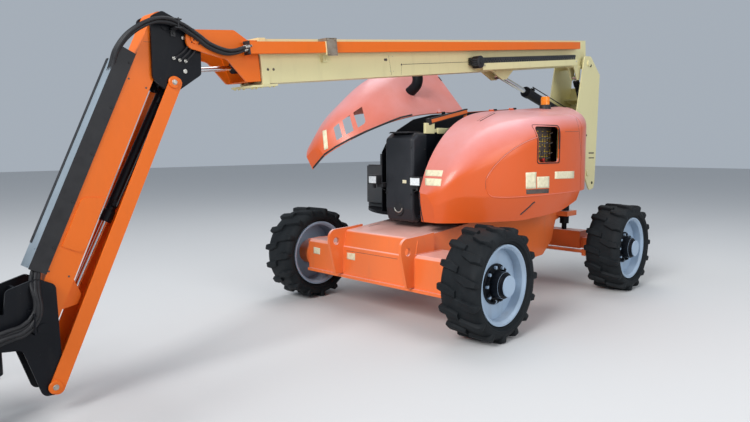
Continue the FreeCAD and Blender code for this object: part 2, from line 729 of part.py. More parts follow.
def rear_cowl():
    """Fixed rear ends of the two hoods."""
    zone = block(-2000, HOOD_SPLIT - HOOD_GAP, 0, 2000, COWL_BOTTOM, 3000)
    cowl = hood_shell(WALL_Y + WALL_T + SIDE_FIT).common(zone)
    return Part.makeCompound([cowl, mirrored(cowl)])


def counterweight():
    """Cast ring segment under the cowl, narrower at its foot."""
    outer = Part.makeCone(*TAIL_R, COWL_BOTTOM - 6 - DECK_TOP, Vector(0, 0, DECK_TOP))
    ring = outer.cut(rod_z(0, 0, 700, DECK_TOP - 1, COWL_BOTTOM))
    zone = block(-2000, -560, -2000, 2000, 0, 3000)
    slot = block(-2000, 0, -WALL_Y - WALL_T - 1, WALL_Y + WALL_T + 1, 0, 3000)
    return ring.common(zone).cut(slot)


def engine():
    """Engine on its bearers, with radiator, air cleaner and silencer."""
    block_part = block(-160, 480, -900, -470, 960, 1300)
    head = block(-130, 450, -830, -560, 1300, 1450)
    cover = plate(((-100, 1450), (420, 1450), (420, 1480, 15), (380, 1510, 20), (-60, 1510, 20), (-100, 1480, 15)),
                  -770, -620)
    pan = block(-60, 380, -800, -560, DECK_TOP, 960)
    fan_shroud = block(600, 640, -820, -440, DECK_TOP, 1340)
    radiator = block(640, 690, -790, -460, 950, 1330)
    fan = rod_x(540, 600, -650, 1130, 150)
    shaft = rod_x(480, 600, -650, 1130, 30)
    pulleys = [rod_x(480, 520, y, z, r) for y, z, r in ((-650, 1130, 95), (-790, 1230, 60), (-540, 1250, 50))]
    cleaner = rod_x(-420, -60, -560, 1570, 88)
    cleaner_foot = block(-330, -200, -600, -520, DECK_TOP, 1500)
    silencer = rod_x(60, 420, -560, 1590, 72)
    stack = rod_z(150, -560, 28, 1440, 1600)
    manifold = block(20, 400, -560, -500, 1340, 1420)
    pump = rod_x(-400, -160, -680, 1130, 90)
    return join(block_part, head, cover, pan, fan_shroud, radiator, fan, shaft, *pulleys, cleaner, cleaner_foot,
                silencer, stack, manifold, pump)


def tanks():
    """Fuel tank, oil tank with its filler, and battery."""
    fuel = block(-420, 340, 350, 800, DECK_TOP, 1290)
    oil = block(400, 860, 350, 640, DECK_TOP, 1330)
    filler = rod_z(640, 480, 45, 1330, 1380)
    battery = block(420, 640, 650, 810, DECK_TOP, 1110)
    return Part.makeCompound([fuel, join(oil, filler), battery])


def ground_controls():
    """Control box behind the hood's window, on a post."""
    x0, x1, z0, z1 = CONTROL_WINDOW
    box_part = block(x0 - 20, x1 + 20, 630, 750, z0 - 10, z1 - 60)
    knobs = [rod_y(x, z, 11, 750, 768) for x in (110, 200, 290) for z in (1440, 1520, 1600)]
    post = block(160, 260, 650, 700, 1290, z0 - 10)
    return join(box_part, post, *knobs)


def beacon():
    x, y, z = BEACON
    foot = rod_z(x, y, 55, z - 60, z).cut(hood_solid(WALL_Y + WALL_T + SIDE_FIT))
    return join(foot, rod_z(x, y, 42, z - 1, z + 95))


# Tower

def pads(u0, u1, half, n0, n1, gap, inside):
    """Wear pads on the four faces of a box section, growing outward, or inward when inside."""
    t = gap - SLIDE_FIT
    rows = []
    for side in (1, -1):
        y = span(side, half, half + t) if not inside else span(side, half - t, half)
        for n in (n0 + 30, n1 - 90):
            rows.append(block(u0, u1, *y, n, n + 60))
        y = span(side, half - 90, half - 30)
        top = (n1, n1 + t) if not inside else (n1 - t, n1)
        low = (n0 - t, n0) if not inside else (n0, n0 + t)
        rows.append(block(u0, u1, *y, *top))
        rows.append(block(u0, u1, *y, *low))
    return rows


def box_boom(u0, u1, width, n0, n1, wall_t):
    """Open-ended box section."""
    outer = block(u0, u1, -width / 2, width / 2, n0, n1)
    inner = block(u0 - 1, u1 + 1, -width / 2 + wall_t, width / 2 - wall_t, n0 + wall_t, n1 - wall_t)
    return outer.cut(inner)


def tower_base():
    """Outer tower section, pinned to the turntable's nose."""
    length, slope = bearing_of(TOWER_TIP, TOWER_PIN)
    half = TOWER_DEPTH / 2
    shell = box_boom(TOWER_MOUTH, length + 60, TOWER_W, -half, half, TOWER_WALL)
    end = block(length + 50, length + 60, -TOWER_W / 2, TOWER_W / 2, -half, half)
    boss = rod_y(length, 0, TOWER_PIN_R + 20, -SPINE_Y + SIDE_FIT, SPINE_Y - SIDE_FIT)
    mouth = box_boom(TOWER_MOUTH, TOWER_MOUTH + 40, TOWER_W + 24, -half - 12, half + 12, 12)
    ears = [plate(((EAR_U - 110, -half + 1), (EAR_U - 40, -EAR_DROP - 30, 30), (EAR_U + 40, -EAR_DROP - 30, 30),
                   (EAR_U + 150, -half + 1)), *span(side, 38, 56)) for side in (1, -1)]
    inner_half = TOWER_W / 2 - TOWER_WALL
    guides = pads(TOWER_MOUTH, TOWER_MOUTH + 120, inner_half, -half + TOWER_WALL, half - TOWER_WALL,
                  FLY_GAP, True)
    base = join(shell, end, boss, mouth, *ears, *guides)
    base = cut(base, rod_y(length, 0, TOWER_PIN_R + PIN_FIT, -300, 300))
    return set_in(base, TOWER_TIP, slope)


def tower_fly():
    """Inner tower section, pinned to the upright."""
    _, slope = bearing_of(TOWER_TIP, TOWER_PIN)
    half = TOWER_DEPTH / 2 - TOWER_WALL - FLY_GAP
    width = TOWER_W - 2 * (TOWER_WALL + FLY_GAP)
    shell = box_boom(0, TOWER_FLY_L, width, -half, half, 8)
    boss = rod_y(0, 0, 62, -UPRIGHT_INNER + SIDE_FIT, UPRIGHT_INNER - SIDE_FIT)
    outline = ((0, -half), (200, -half), (200, half), (0, half), (-62, 0, 60))
    cheeks = [plate(outline, *span(side, width / 2 - 1, width / 2 + 14)) for side in (1, -1)]
    fly = join(shell, boss, *cheeks, *pads(TOWER_FLY_L - 120, TOWER_FLY_L, width / 2, -half, half, FLY_GAP, False))
    fly = cut(fly, rod_y(0, 0, UPRIGHT_PIN_R + PIN_FIT, -300, 300))
    return set_in(fly, TOWER_TIP, slope)


def tower_ear():
    """Side-view point of the tower cylinder's rod eye."""
    _, slope = bearing_of(TOWER_TIP, TOWER_PIN)
    return along(TOWER_TIP, slope, (EAR_U, -EAR_DROP))


# Upright

def upright():
    """Two side plates with their pins, back web and cylinder ears."""
    points = ((-2330, 2650, 70), (-2600, 2440, 25), (-2592, 2300, 0), (-2545, 1060, 40), (-2515, 975, 20),
              (-2400, 955, 40), (-2145, 1270, 120), (-1985, 1900, 200), (-2165, 2640, 60))
    inner = UPRIGHT_INNER
    sides = [plate(points, *span(side, inner, inner + UPRIGHT_T)) for side in (1, -1)]
    web = plate(((-2584, 2290), (-2568, 2290), (-2526, 1110), (-2542, 1110)), -inner - 1, inner + 1)
    shelf = plate(((-2575, 2080), (-2400, 2120), (-2400, 2136), (-2575, 2096)), -inner - 1, inner + 1)
    pins = [rod_y(*MAIN_PIN, BOOM_PIN_R, -inner - 30, inner + 30),
            rod_y(*TOWER_TIP, UPRIGHT_PIN_R, -inner - 30, inner + 30),
            rod_y(*MAIN_CYL_FOOT, 28, -inner - 1, inner + 1),
            rod_y(*MASTER_FOOT, 18, MASTER_Y - 52, inner + 1)]
    fx, fz = MAIN_CYL_FOOT
    ear = plate(((-2570, 1960), (fx, fz + 60, 40), (fx + 60, fz, 40), (fx, fz - 60, 40), (-2565, 1760)), 60, 73)
    mx, mz = MASTER_FOOT
    master_ear = plate(((-2572, 2095), (mx + 40, mz + 40, 30), (mx + 40, mz - 40, 30), (-2570, 1930)),
                       MASTER_Y - 52, MASTER_Y - 42)
    return join(*sides, web, shelf, *pins, ear, mirrored(ear), master_ear)


# Main boom

def main_place(shape):
    return set_in(shape, MAIN_PIN, MAIN_SLOPE)


def main_boom():
    """Outer main section with its brackets, the push tube's guide and the cable tray."""
    n0, n1 = MAIN_BOTTOM, MAIN_BOTTOM + MAIN_DEPTH
    half = MAIN_W / 2
    shell = box_boom(-60, MAIN_END, MAIN_W, n0, n1, MAIN_WALL)
    rear = block(-60, -50, -half, half, n0, n1)
    collar = box_boom(MAIN_END - 60, MAIN_END, MAIN_W + 16, n0 - 8, n1 + 8, MAIN_WALL)
    boss = rod_y(0, 0, BOOM_PIN_R + 24, -UPRIGHT_INNER + SIDE_FIT, UPRIGHT_INNER - SIDE_FIT)
    u, n = LIFT_EAR
    outline = ((u - 190, n0 + 1), (u - 40, n - 45, 40), (u + 45, n - 45, 40), (u + 230, n0 + 1))
    ears = [plate(outline, *span(side, 52, 72)) for side in (1, -1)]
    mu, mn = MASTER_EAR
    yoke_top = block(mu - 75, mu + 130, MASTER_Y - 48, MASTER_Y + 48, n0 - 18, n0 + 1)
    outline = ((mu - 60, n0 - 17), (mu - 35, mn - 35, 30), (mu + 35, mn - 35, 30), (mu + 110, n0 - 17))
    yokes = [plate(outline, y, y + 10) for y in (MASTER_Y - 44, MASTER_Y + 34)]
    p0, p1, p2, p3 = PUSH_BOX
    guide = block(*GUIDE_U, half - 1, p1 + 14, p2 - 16, p3 + 16)
    guide = guide.cut(block(GUIDE_U[0] - 1, GUIDE_U[1] + 1, p0 - SLIDE_FIT, p1 + SLIDE_FIT,
                            p2 - SLIDE_FIT, p3 + SLIDE_FIT))
    tray = block(TRAY_U[0], TRAY_U[1], half - 1, TRAY_Y, TRAY_N, TRAY_N + 6)
    lip = block(TRAY_U[0], TRAY_U[1], TRAY_Y - 6, TRAY_Y, TRAY_N - 24, TRAY_N + 42)
    inner_half = half - MAIN_WALL
    guides = pads(MAIN_END - 150, MAIN_END, inner_half, n0 + MAIN_WALL, n1 - MAIN_WALL, FLY_GAP, True)
    base = join(shell, rear, collar, boss, *ears, yoke_top, *yokes, guide, tray, lip, *guides)
    return main_place(cut(base, rod_y(0, 0, BOOM_PIN_R + PIN_FIT, -300, 300)))


def cable_track():
    """Folded cable track lying in its tray."""
    low = TRAY_N + 6
    u0, u1 = TRAY_U[0] + 30, TRAY_U[1] + 60
    high = low + 92
    outer = plate(((u0, low, 12), (u1, low, 45), (u1, high, 45), (u0, high, 12)), TRAY_Y - 74, TRAY_Y - 8)
    inner = plate(((u0 - 20, low + 30), (u1 - 30, low + 30, 15), (u1 - 30, high - 30, 15), (u0 - 20, high - 30)),
                  TRAY_Y - 80, TRAY_Y)
    return main_place(outer.cut(inner))


def fly_boom():
    """Inner main section with the head plates that carry the jib's bracket."""
    gap = MAIN_WALL + FLY_GAP
    half = MAIN_W / 2 - gap
    n0, n1 = MAIN_BOTTOM + gap, MAIN_BOTTOM + MAIN_DEPTH - gap
    shell = box_boom(FLY_START, FLY_END + 60, 2 * half, n0, n1, 7)
    nose = plate(((FLY_END - 15, n0 - 1), (FLY_END + 100, n0 - 1), (FLY_END + 100, n1 + 1),
                  (FLY_END + 60, n1 + 1)),
                 -half - 1, half + 1)
    pin_u, pin_n = into(MAIN_PIN, MAIN_SLOPE, FLY_PIN)
    points = ((MAIN_END + 10, n0), (MAIN_END + 130, n0, 30), (MAIN_END + 262, 150, 60),
              (pin_u + 62, pin_n - 55, 50),
              (pin_u + 62, pin_n + 58, 55), (MAIN_END + 185, pin_n + 58, 40), (MAIN_END + 85, n1 + 8, 30),
              (MAIN_END + 10, n1 + 8))
    cheeks = [plate(points, *span(side, half, half + 15)) for side in (1, -1)]
    pin = rod_y(pin_u, pin_n, FLY_PIN_R, -half - 24, half + 24)
    anchor = rod_y(*SLAVE_FOOT, 20, -half + 1, half - 1)
    p0, p1, p2, p3 = PUSH_BOX
    clamp = block(PUSH_U[1] - 45, PUSH_U[1], half + 14, p0, p2 + 10, p3 - 10)
    fly = join(cut(shell, nose), *cheeks, pin, anchor, clamp,
               *pads(FLY_START, FLY_START + 150, half, n0, n1, FLY_GAP, False))
    return main_place(fly)


def push_tube():
    """Square tube that pushes the cable track out with the fly section."""
    p0, p1, p2, p3 = PUSH_BOX
    outer = block(PUSH_U[0], PUSH_U[1], p0, p1, p2, p3)
    inner = block(PUSH_U[0] - 1, PUSH_U[1] + 1, p0 + 5, p1 - 5, p2 + 5, p3 - 5)
    return main_place(outer.cut(inner))


# Jib

def jib_bracket():
    """Levelled bracket at the boom's tip that carries the jib and its link."""
    (ax, az), (sx, sz), (bx, bz), (dx, dz) = FLY_PIN, SLAVE_PIN, JIB_TOP, LINK_TOP
    points = ((ax - 60, az + 5, 40), (ax - 30, az + 62, 30), (bx + 15, bz + 88, 30), (bx + 92, bz + 45, 40),
              (bx + 92, dz + 15, 60), (dx + 45, dz - 55, 50), (dx - 30, dz - 55, 40), (sx - 48, sz - 32, 30))
    half = BRACKET_HALF
    cheeks = [plate(points, *span(side, half, half + BRACKET_T)) for side in (1, -1)]
    web = block(ax + 52, ax + 68, -half - 1, half + 1, sz + 30, az - 25)
    reach = LINK_W / 2 + 8
    pins = [rod_y(bx, bz, JIB_PIN_R, -half - 22, half + 22), rod_y(dx, dz, LINK_PIN_R, -reach, reach)]
    bosses = [rod_y(sx, sz, 34, *span(side, 40, half + 1)) for side in (1, -1)]
    sleeve = rod_y(ax, az, FLY_PIN_R + 14, -half - BRACKET_T, half + BRACKET_T)
    return cut(join(*cheeks, web, *pins, *bosses, sleeve), rod_y(ax, az, FLY_PIN_R + PIN_FIT, -200, 200))


def jib_arm():
    """Jib box with rounded ends and the ears of its cylinder."""
    length, slope = bearing_of((0, 0), JIB_RUN)
    half = JIB_W / 2
    points = ((-78, JIB_UNDER, 62), (-78, JIB_OVER, 62), (length + 78, JIB_OVER, 62), (length + 78, JIB_UNDER, 62))
    body = plate(points, -half, half)
    hollow = block(110, length - 110, -half + 7, half - 7, JIB_UNDER + 7, JIB_OVER - 7)
    u, n = JIB_EAR
    ears = [plate(((u - 110, JIB_UNDER + 1), (u - 30, n - 28, 25), (u + 30, n - 28, 25), (u + 90, JIB_UNDER + 1)),
                  *span(side, 34, 48)) for side in (1, -1)]
    doubler = plate(((1130, -62, 10), (1480, -62, 40), (1480, 66, 10), (1180, 66, 40)), half - 1, half + 8)
    arm = join(body.cut(hollow), *ears, doubler, mirrored(doubler))
    bores = [rod_y(u0, 0, JIB_PIN_R + PIN_FIT, -200, 200) for u0 in (0, length)]
    return set_in(cut(arm, *bores), JIB_TOP, slope)


def jib_link():
    """Channel-shaped parallel link: its side plates run outside the brackets' cheeks."""
    length, slope = bearing_of((0, 0), JIB_RUN)
    half = LINK_W / 2
    points = ((-42, LINK_UNDER, 38), (length + 42, LINK_UNDER, 38), (length + 42, LINK_OVER, 34),
              (-42, LINK_OVER, 34))
    sides = [plate(points, *span(side, half - LINK_T, half)) for side in (1, -1)]
    web = block(LINK_WEB[0], length - LINK_WEB[1], -half + 1, half - 1, LINK_UNDER, LINK_UNDER + LINK_T)
    bores = [rod_y(u0, 0, LINK_PIN_R + PIN_FIT, -200, 200) for u0 in (0, length)]
    return set_in(cut(join(*sides, web), *bores), LINK_TOP, slope)


def jib_cover():
    """Cable cover on the jib's outer side: black strip and its sheet-metal tray."""
    _, slope = bearing_of((0, 0), JIB_RUN)
    strip = block(250, 1600, -60, 70, JIB_OVER, JIB_OVER + 40)
    return set_in(strip, JIB_TOP, slope)


def jib_tray():
    _, slope = bearing_of((0, 0), JIB_RUN)
    low = JIB_OVER + 40
    outer = block(330, 1500, -66, 76, low, low + 62)
    inner = block(329, 1501, -60, 70, low + 6, low + 56)
    return set_in(outer.cut(inner), JIB_TOP, slope)


# Platform

def platform_bracket():
    """Levelled bracket under the jib with the rotator's housing."""
    (cx, cz), (ex, ez) = JIB_FOOT, LINK_FOOT
    low, high = ROTATOR_Z
    half = BRACKET_HALF
    points = ((ex - 50, ez + 20, 40), (ex - 25, ez - 52, 40), (ex + 60, ez - 45, 40), (cx + 110, cz - 100, 40),
              (ROTATOR_X, cz - 80, 0), (ROTATOR_X, high - 6, 0), (ROTATOR_X - 84, high - 6, 0),
              (ROTATOR_X - 100, cz + 245, 30), (cx + 20, cz + 290, 40), (cx - 80, cz + 240, 40))
    cheeks = [plate(points, *span(side, half, half + BRACKET_T)) for side in (1, -1)]
    web = block(cx + 100, cx + 116, -half - 1, half + 1, cz - 95, cz + 240)
    pins = [rod_y(cx, cz, JIB_PIN_R, -half - 22, half + 22)]
    pins += [rod_y(ex, ez, LINK_PIN_R, *span(side, half + 1, LINK_W / 2 + 8)) for side in (1, -1)]
    housing = rod_z(ROTATOR_X, 0, half + 1, low, high)
    return cut(join(*cheeks, web, *pins, housing), rod_z(ROTATOR_X, 0, ROTATOR_R + PIN_FIT, 0, 1000))


def platform_support():
    """Rotator shaft with the arms that carry the platform."""
    low, high = ROTATOR_Z
    shaft = rod_z(ROTATOR_X, 0, ROTATOR_R, low - 26, high + 26)
    arms = []
    for z0, z1 in ((low - 26, low - SIDE_FIT), (high + SIDE_FIT, high + 26)):
        arms.append(rod_z(ROTATOR_X, 0, 70, z0, z1))
        arms.append(block(ROTATOR_X, PLATFORM_BACK - 100, -70, 70, z0, z1))
    post = block(PLATFORM_BACK - 200, PLATFORM_BACK - 100, -70, 70, low - 26, high + 26)
    saddle = block(PLATFORM_BACK - 100, PLATFORM_BACK - 30, -190, 190, low - 26, high + 26)
    return join(shaft, *arms, post, saddle)


def platform_frame():
    """Welded basket: floor frame, posts, rails and toe boards, with a gap for the gate."""
    back, front, half = PLATFORM_BACK, PLATFORM_BACK + PLATFORM_D, PLATFORM_W / 2
    floor, top = PLATFORM_FLOOR, PLATFORM_FLOOR + RAIL_H
    base = PLATFORM_FLOOR - FLOOR_T
    beams = [block(x, x + 50, -half, half, base - 50, base) for x in (back, front - 50)]
    beams += [block(back, front, y, y + 50, base - 50, base) for y in (-half, -25, half - 50)]
    in_x0, in_x1, in_y = back + 25, front - 25, half - 25
    pieces = list(beams)
    posts = [(in_x0, y) for y in (-in_y, -700, 700, in_y)]
    posts += [(in_x1, y) for y in (-in_y, -GATE_HALF, GATE_HALF, in_y)]
    for x, y in posts:
        pieces.append(rod_z(x, y, RAIL_R, base - 1, top))
    for z in (top, (top + floor) / 2):
        pieces.append(tube((in_x0, -in_y, z), (in_x0, in_y, z), RAIL_R))
        pieces.append(tube((in_x1, -in_y, z), (in_x1, -GATE_HALF, z), RAIL_R))
        pieces.append(tube((in_x1, GATE_HALF, z), (in_x1, in_y, z), RAIL_R))
        for side in (1, -1):
            pieces.append(tube((in_x0, side * in_y, z), (in_x1, side * in_y, z), RAIL_R))
    pieces += [Part.makeSphere(RAIL_R, Vector(x, y, top)) for x, y in posts]
    for side in (1, -1):
        pieces.append(block(back + 20, back + 60, *span(side, 130, 190), base - 1, top))
        pieces.append(block(back - 30, back + 21, *span(side, 130, 190), ROTATOR_Z[0] - 26, ROTATOR_Z[1] + 26))
    toe = [block(back + 21, front - 21, *span(side, in_y - 2, in_y + 2), base, floor + 100) for side in (1, -1)]
    toe.append(block(in_x0 - 2, in_x0 + 2, -in_y, in_y, base, floor + 100))
    toe += [block(in_x1 - 2, in_x1 + 2, *span(side, GATE_HALF, in_y), base, floor + 100) for side in (1, -1)]
    return join(*pieces, *toe)


def platform_floor():
    back, front, half = PLATFORM_BACK, PLATFORM_BACK + PLATFORM_D, PLATFORM_W / 2
    base = PLATFORM_FLOOR - FLOOR_T
    sheet = block(back + 64, front - 48, -half + 48, half - 48, base, PLATFORM_FLOOR)
    return sheet


def platform_console():
    """Control box on the rear rail."""
    x0 = PLATFORM_BACK + 60.4
    z = PLATFORM_FLOOR + RAIL_H
    points = ((x0, z - 230), (x0 + 60, z - 230, 20), (x0 + 190, z - 150, 20), (x0 + 190, z - 90, 15),
              (x0 + 60, z - 20, 15), (x0, z - 20))
    body = plate(points, -250, 250)
    sticks = [rod_z(x0 + 120, y, 12, z - 80, z + 40) for y in (-180, 120)]
    return join(body, *sticks)


def platform_gate():
    """Swing gate between the two posts of the front rail."""
    x = PLATFORM_BACK + PLATFORM_D - 25
    top, low = PLATFORM_FLOOR + RAIL_H - 60, PLATFORM_FLOOR + 190
    y0, y1 = -GATE_HALF, GATE_HALF - RAIL_R - 26
    pieces = [tube((x, y1, low), (x, y1, top), 14)]
    for z in (low, (low + top) / 2, top):
        pieces.append(tube((x, y0, z), (x, y1, z), 14))
        pieces.append(rod_z(x, y0, RAIL_R + 8, z - 22, z + 22))
    pieces.append(block(x - 3, x + 3, y0 + 60, y1, PLATFORM_FLOOR + 20, low))
    pieces.append(tube((x, y0 + 60, PLATFORM_FLOOR + 20), (x, y0 + 60, top), 14))
    return cut(join(*pieces), rod_z(x, y0, RAIL_R + PIN_FIT, 0, 2000))


def cylinder_table():
    """One row per cylinder of the booms."""
    master_eye = along(MAIN_PIN, MAIN_SLOPE, MASTER_EAR)
    lift_eye = along(MAIN_PIN, MAIN_SLOPE, LIFT_EAR)
    slave_foot = along(MAIN_PIN, MAIN_SLOPE, SLAVE_FOOT)
    _, jib_slope = bearing_of((0, 0), JIB_RUN)
    jib_eye = along(JIB_TOP, jib_slope, JIB_EAR)
    # name, foot pin, eye pin, barrel length, barrel radius, rod radius, rod's start, y, foot pin and eye pin radius
    return (("tower", TOWER_CYL_FOOT, tower_ear(), 620, 55, 30, 110, 0, 25, 20),
            ("lift", MAIN_CYL_FOOT, lift_eye, 1180, 55, 28, 150, 0, 28, 22),
            ("master", MASTER_FOOT, master_eye, 395, 32, 16, 65, MASTER_Y, 18, 12),
            ("slave", slave_foot, SLAVE_PIN, 760, 34, 17, 300, 0, 20, 16),
            ("jib", LINK_TOP, jib_eye, 960, 30, 17, 100, 0, LINK_PIN_R, 14))


def main():
    os.makedirs("parts", exist_ok=True)
    wheels()
    for node, shape in (
            ("chassis_frame", chassis_frame()), ("steer_axle", steer_axle()),
            ("lockout_cylinders", lockout_cylinders()), ("swing_bearing", swing_bearing()),
            ("knuckle_tank", knuckle(1)), ("knuckle_engine", knuckle(-1)), ("tie_rod", tie_rod()),
            ("turntable_frame", turntable_frame()), ("front_cover", front_cover()), ("work_lamps", work_lamps()),
            ("tank_hood", tank_hood()), ("engine_hood", engine_hood()), ("exhaust_elbow", exhaust_elbow()),
            ("rear_cowl", rear_cowl()), ("counterweight", counterweight()), ("engine", engine()),
            ("tanks", tanks()), ("ground_controls", ground_controls()), ("beacon", beacon()),
            ("tower_base", tower_base()), ("tower_fly", tower_fly()), ("upright", upright()),
            ("main_boom", main_boom()), ("cable_track", cable_track()), ("fly_boom", fly_boom()),
            ("push_tube", push_tube()), ("jib_bracket", jib_bracket()), ("jib_arm", jib_arm()),
            ("jib_link", jib_link()), ("jib_cover", jib_cover()), ("jib_tray", jib_tray()),
            ("platform_bracket", platform_bracket()), ("platform_support", platform_support()),
            ("platform_frame", platform_frame()), ("platform_floor", platform_floor()),
            ("platform_console", platform_console()), ("platform_gate", platform_gate())):
        save(shape, node)
    steer_barrel, steer_rod = steer_cylinder()
    save(steer_barrel, "steer_barrel")
    save(steer_rod, "steer_rod")
    for name, start, end, length, radius, rod_radius, inside, y, foot_pin, eye_pin in cylinder_table():
        save(barrel(start, end, length, radius, rod_radius, y, foot_pin), name + "_barrel")
        save(piston_rod(start, end, inside, rod_radius, y, eye_pin), name + "_rod")


main()
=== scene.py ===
import bpy
import bmesh
import json
from functools import cache
from math import atan2, cos, hypot, radians, sin, sqrt, tau
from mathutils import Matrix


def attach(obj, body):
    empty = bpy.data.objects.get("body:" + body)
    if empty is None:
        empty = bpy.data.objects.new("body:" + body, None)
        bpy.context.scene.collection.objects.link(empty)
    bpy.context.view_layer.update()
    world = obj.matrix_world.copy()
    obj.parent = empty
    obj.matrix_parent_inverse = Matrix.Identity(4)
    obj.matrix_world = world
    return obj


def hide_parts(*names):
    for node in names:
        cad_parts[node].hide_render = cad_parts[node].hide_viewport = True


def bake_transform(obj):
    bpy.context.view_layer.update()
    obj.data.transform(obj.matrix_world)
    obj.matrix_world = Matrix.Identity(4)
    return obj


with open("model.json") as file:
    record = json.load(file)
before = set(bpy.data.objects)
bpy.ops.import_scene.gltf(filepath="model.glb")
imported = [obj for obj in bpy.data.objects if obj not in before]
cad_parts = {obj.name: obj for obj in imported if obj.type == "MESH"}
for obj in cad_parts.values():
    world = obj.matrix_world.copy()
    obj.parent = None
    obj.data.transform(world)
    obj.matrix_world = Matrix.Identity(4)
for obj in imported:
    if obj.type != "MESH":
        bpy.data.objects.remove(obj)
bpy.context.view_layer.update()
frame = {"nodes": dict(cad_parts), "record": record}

from types import SimpleNamespace
from mathutils import Matrix, Vector
from mathutils.bvhtree import BVHTree

# Articulating boom lift: looks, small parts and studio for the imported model.
# Metres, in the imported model's frame: +X to the platform, +Y to the tank side, +Z up.

nodes = frame["nodes"]
BODY = {node: body for body, held in frame["record"]["behaviour"]["bodies"].items() for node in held}

EYE = (5.278, 3.802, 1.532)
YAW, PITCH, ROLL = 224.31, -5.99, -.21
IMAGE_WIDTH, CENTRE_X, CENTRE_Y, FOCAL = 750, 375, 211, 617.1
SENSOR = 36
FLOOR_HALF = 40


def add(name, data):
    """New object in the scene."""
    thing = bpy.data.objects.new(name, data)
    bpy.context.scene.collection.objects.link(thing)
    return thing


# Studio and camera

def camera():
    """Camera at the photo's place; its angles are in degrees and its focal length in pixels."""
    yaw, pitch, roll = radians(YAW), radians(PITCH), radians(ROLL)
    ahead = Vector((cos(pitch) * cos(yaw), cos(pitch) * sin(yaw), sin(pitch)))
    right = Vector((sin(yaw), -cos(yaw), 0))
    up = right.cross(ahead)
    right, up = (right * cos(roll) + up * sin(roll), up * cos(roll) - right * sin(roll))
    data = bpy.data.cameras.new("view")
    data.sensor_width = SENSOR
    data.lens = FOCAL / IMAGE_WIDTH * SENSOR
    data.clip_end = 200
    thing = add("view", data)
    turn = Matrix((right, up, -ahead)).transposed()
    thing.matrix_world = Matrix.Translation(EYE) @ turn.to_4x4()
    bpy.context.scene.camera = thing


def studio():
    """Pale sky, three soft lamps and a plain floor."""
    scene = bpy.context.scene
    scene.view_settings.view_transform = "Standard"
    world = bpy.data.worlds.new("studio")
    scene.world = world
    world.use_nodes = True
    back = world.node_tree.nodes["Background"]
    back.inputs["Color"].default_value = (.76, .85, .96, 1)
    back.inputs["Strength"].default_value = .5
    for name, place, aim, size, power in (
            ("key", (14, 2.9, 9.2), (.5, 0, .9), 5.7, 2000),
            ("fill", (1.5, 9, 4.6), (-.5, 0, 1.4), 5, 330),
            ("top", (-2, -2, 9), (0, 0, 1.5), 6, 330)):
        data = bpy.data.lights.new(name, "AREA")
        data.size = size
        data.energy = power
        lamp = add(name, data)
        turn = (Vector(aim) - Vector(place)).to_track_quat("-Z", "Y").to_matrix().to_4x4()
        lamp.matrix_world = Matrix.Translation(place) @ turn
    mesh = bpy.data.meshes.new("floor")
    mesh.from_pydata([(x * FLOOR_HALF, y * FLOOR_HALF, 0) for x, y in ((-1, -1), (1, -1), (1, 1), (-1, 1))],
        [], [(0, 1, 2, 3)])
    floor = add("floor", mesh)
    mesh.materials.append(Paint("floor").finish((.6, .6, .6), .9, gloss=.5))


# Materials

class Paint:
    """Node builder for one procedural material."""

    def __init__(self, name):
        self.mat = bpy.data.materials.new(name)
        self.mat.use_nodes = True
        self.tree = self.mat.node_tree
        self.shader = self.tree.nodes["Principled BSDF"]
        self.coords = self.tree.nodes.new("ShaderNodeTexCoord")

    def put(self, socket, value):
        """Joins an input to another node's output, or sets it to a number or a colour."""
        if isinstance(value, bpy.types.NodeSocket):
            self.tree.links.new(value, socket)
        elif isinstance(value, tuple) and len(socket.default_value) == 4:
            socket.default_value = (*value, 1)
        else:
            socket.default_value = value

    def node(self, kind, output, inputs, **settings):
        """Output of a new node with these inputs and settings."""
        made = self.tree.nodes.new(kind)
        for key, value in settings.items():
            setattr(made, key, value)
        for key, value in inputs.items():
            self.put(made.inputs[key], value)
        return made.outputs[output]

    def noise(self, scale, detail=6, rough=.6, stretch=(1, 1, 1)):
        """Cloudy pattern fixed to the piece."""
        spot = self.node("ShaderNodeMapping", "Vector", {"Vector": self.coords.outputs["Object"],
            "Scale": stretch})
        return self.node("ShaderNodeTexNoise", "Fac", {"Vector": spot, "Scale": scale, "Detail": detail,
            "Roughness": rough})

    def ramp(self, value, low, high, a=0, b=1):
        """The value between low and high, as a share or from a to b."""
        return self.node("ShaderNodeMapRange", "Result", {"Value": value, "From Min": low, "From Max": high,
            "To Min": a, "To Max": b})

    def times(self, one, two):
        """Product, kept between 0 and 1."""
        return self.node("ShaderNodeMath", 0, {0: one, 1: two}, operation="MULTIPLY", use_clamp=True)

    def mix(self, factor, one, two):
        """Colour between two colours."""
        return self.node("ShaderNodeMix", 2, {"Factor": factor, 6: one, 7: two}, data_type="RGBA")

    def facing(self):
        """How far the surface faces up, in the piece's own frame."""
        return self.node("ShaderNodeSeparateXYZ", 2, {0: self.coords.outputs["Normal"]})

    def bump(self, value, strength, distance):
        """Relief of the surface."""
        self.put(self.shader.inputs["Normal"], self.node("ShaderNodeBump", "Normal",
            {"Height": value, "Strength": strength, "Distance": distance}))

    def finish(self, color, rough, metal=0, coat=0, gloss=.35):
        """The finished material."""
        looks = {"Specular IOR Level": gloss, "Base Color": color, "Roughness": rough, "Metallic": metal}
        if coat:
            looks.update({"Coat Weight": coat, "Coat Roughness": .15})
        for key, value in looks.items():
            self.put(self.shader.inputs[key], value)
        return self.mat


camera()
studio()


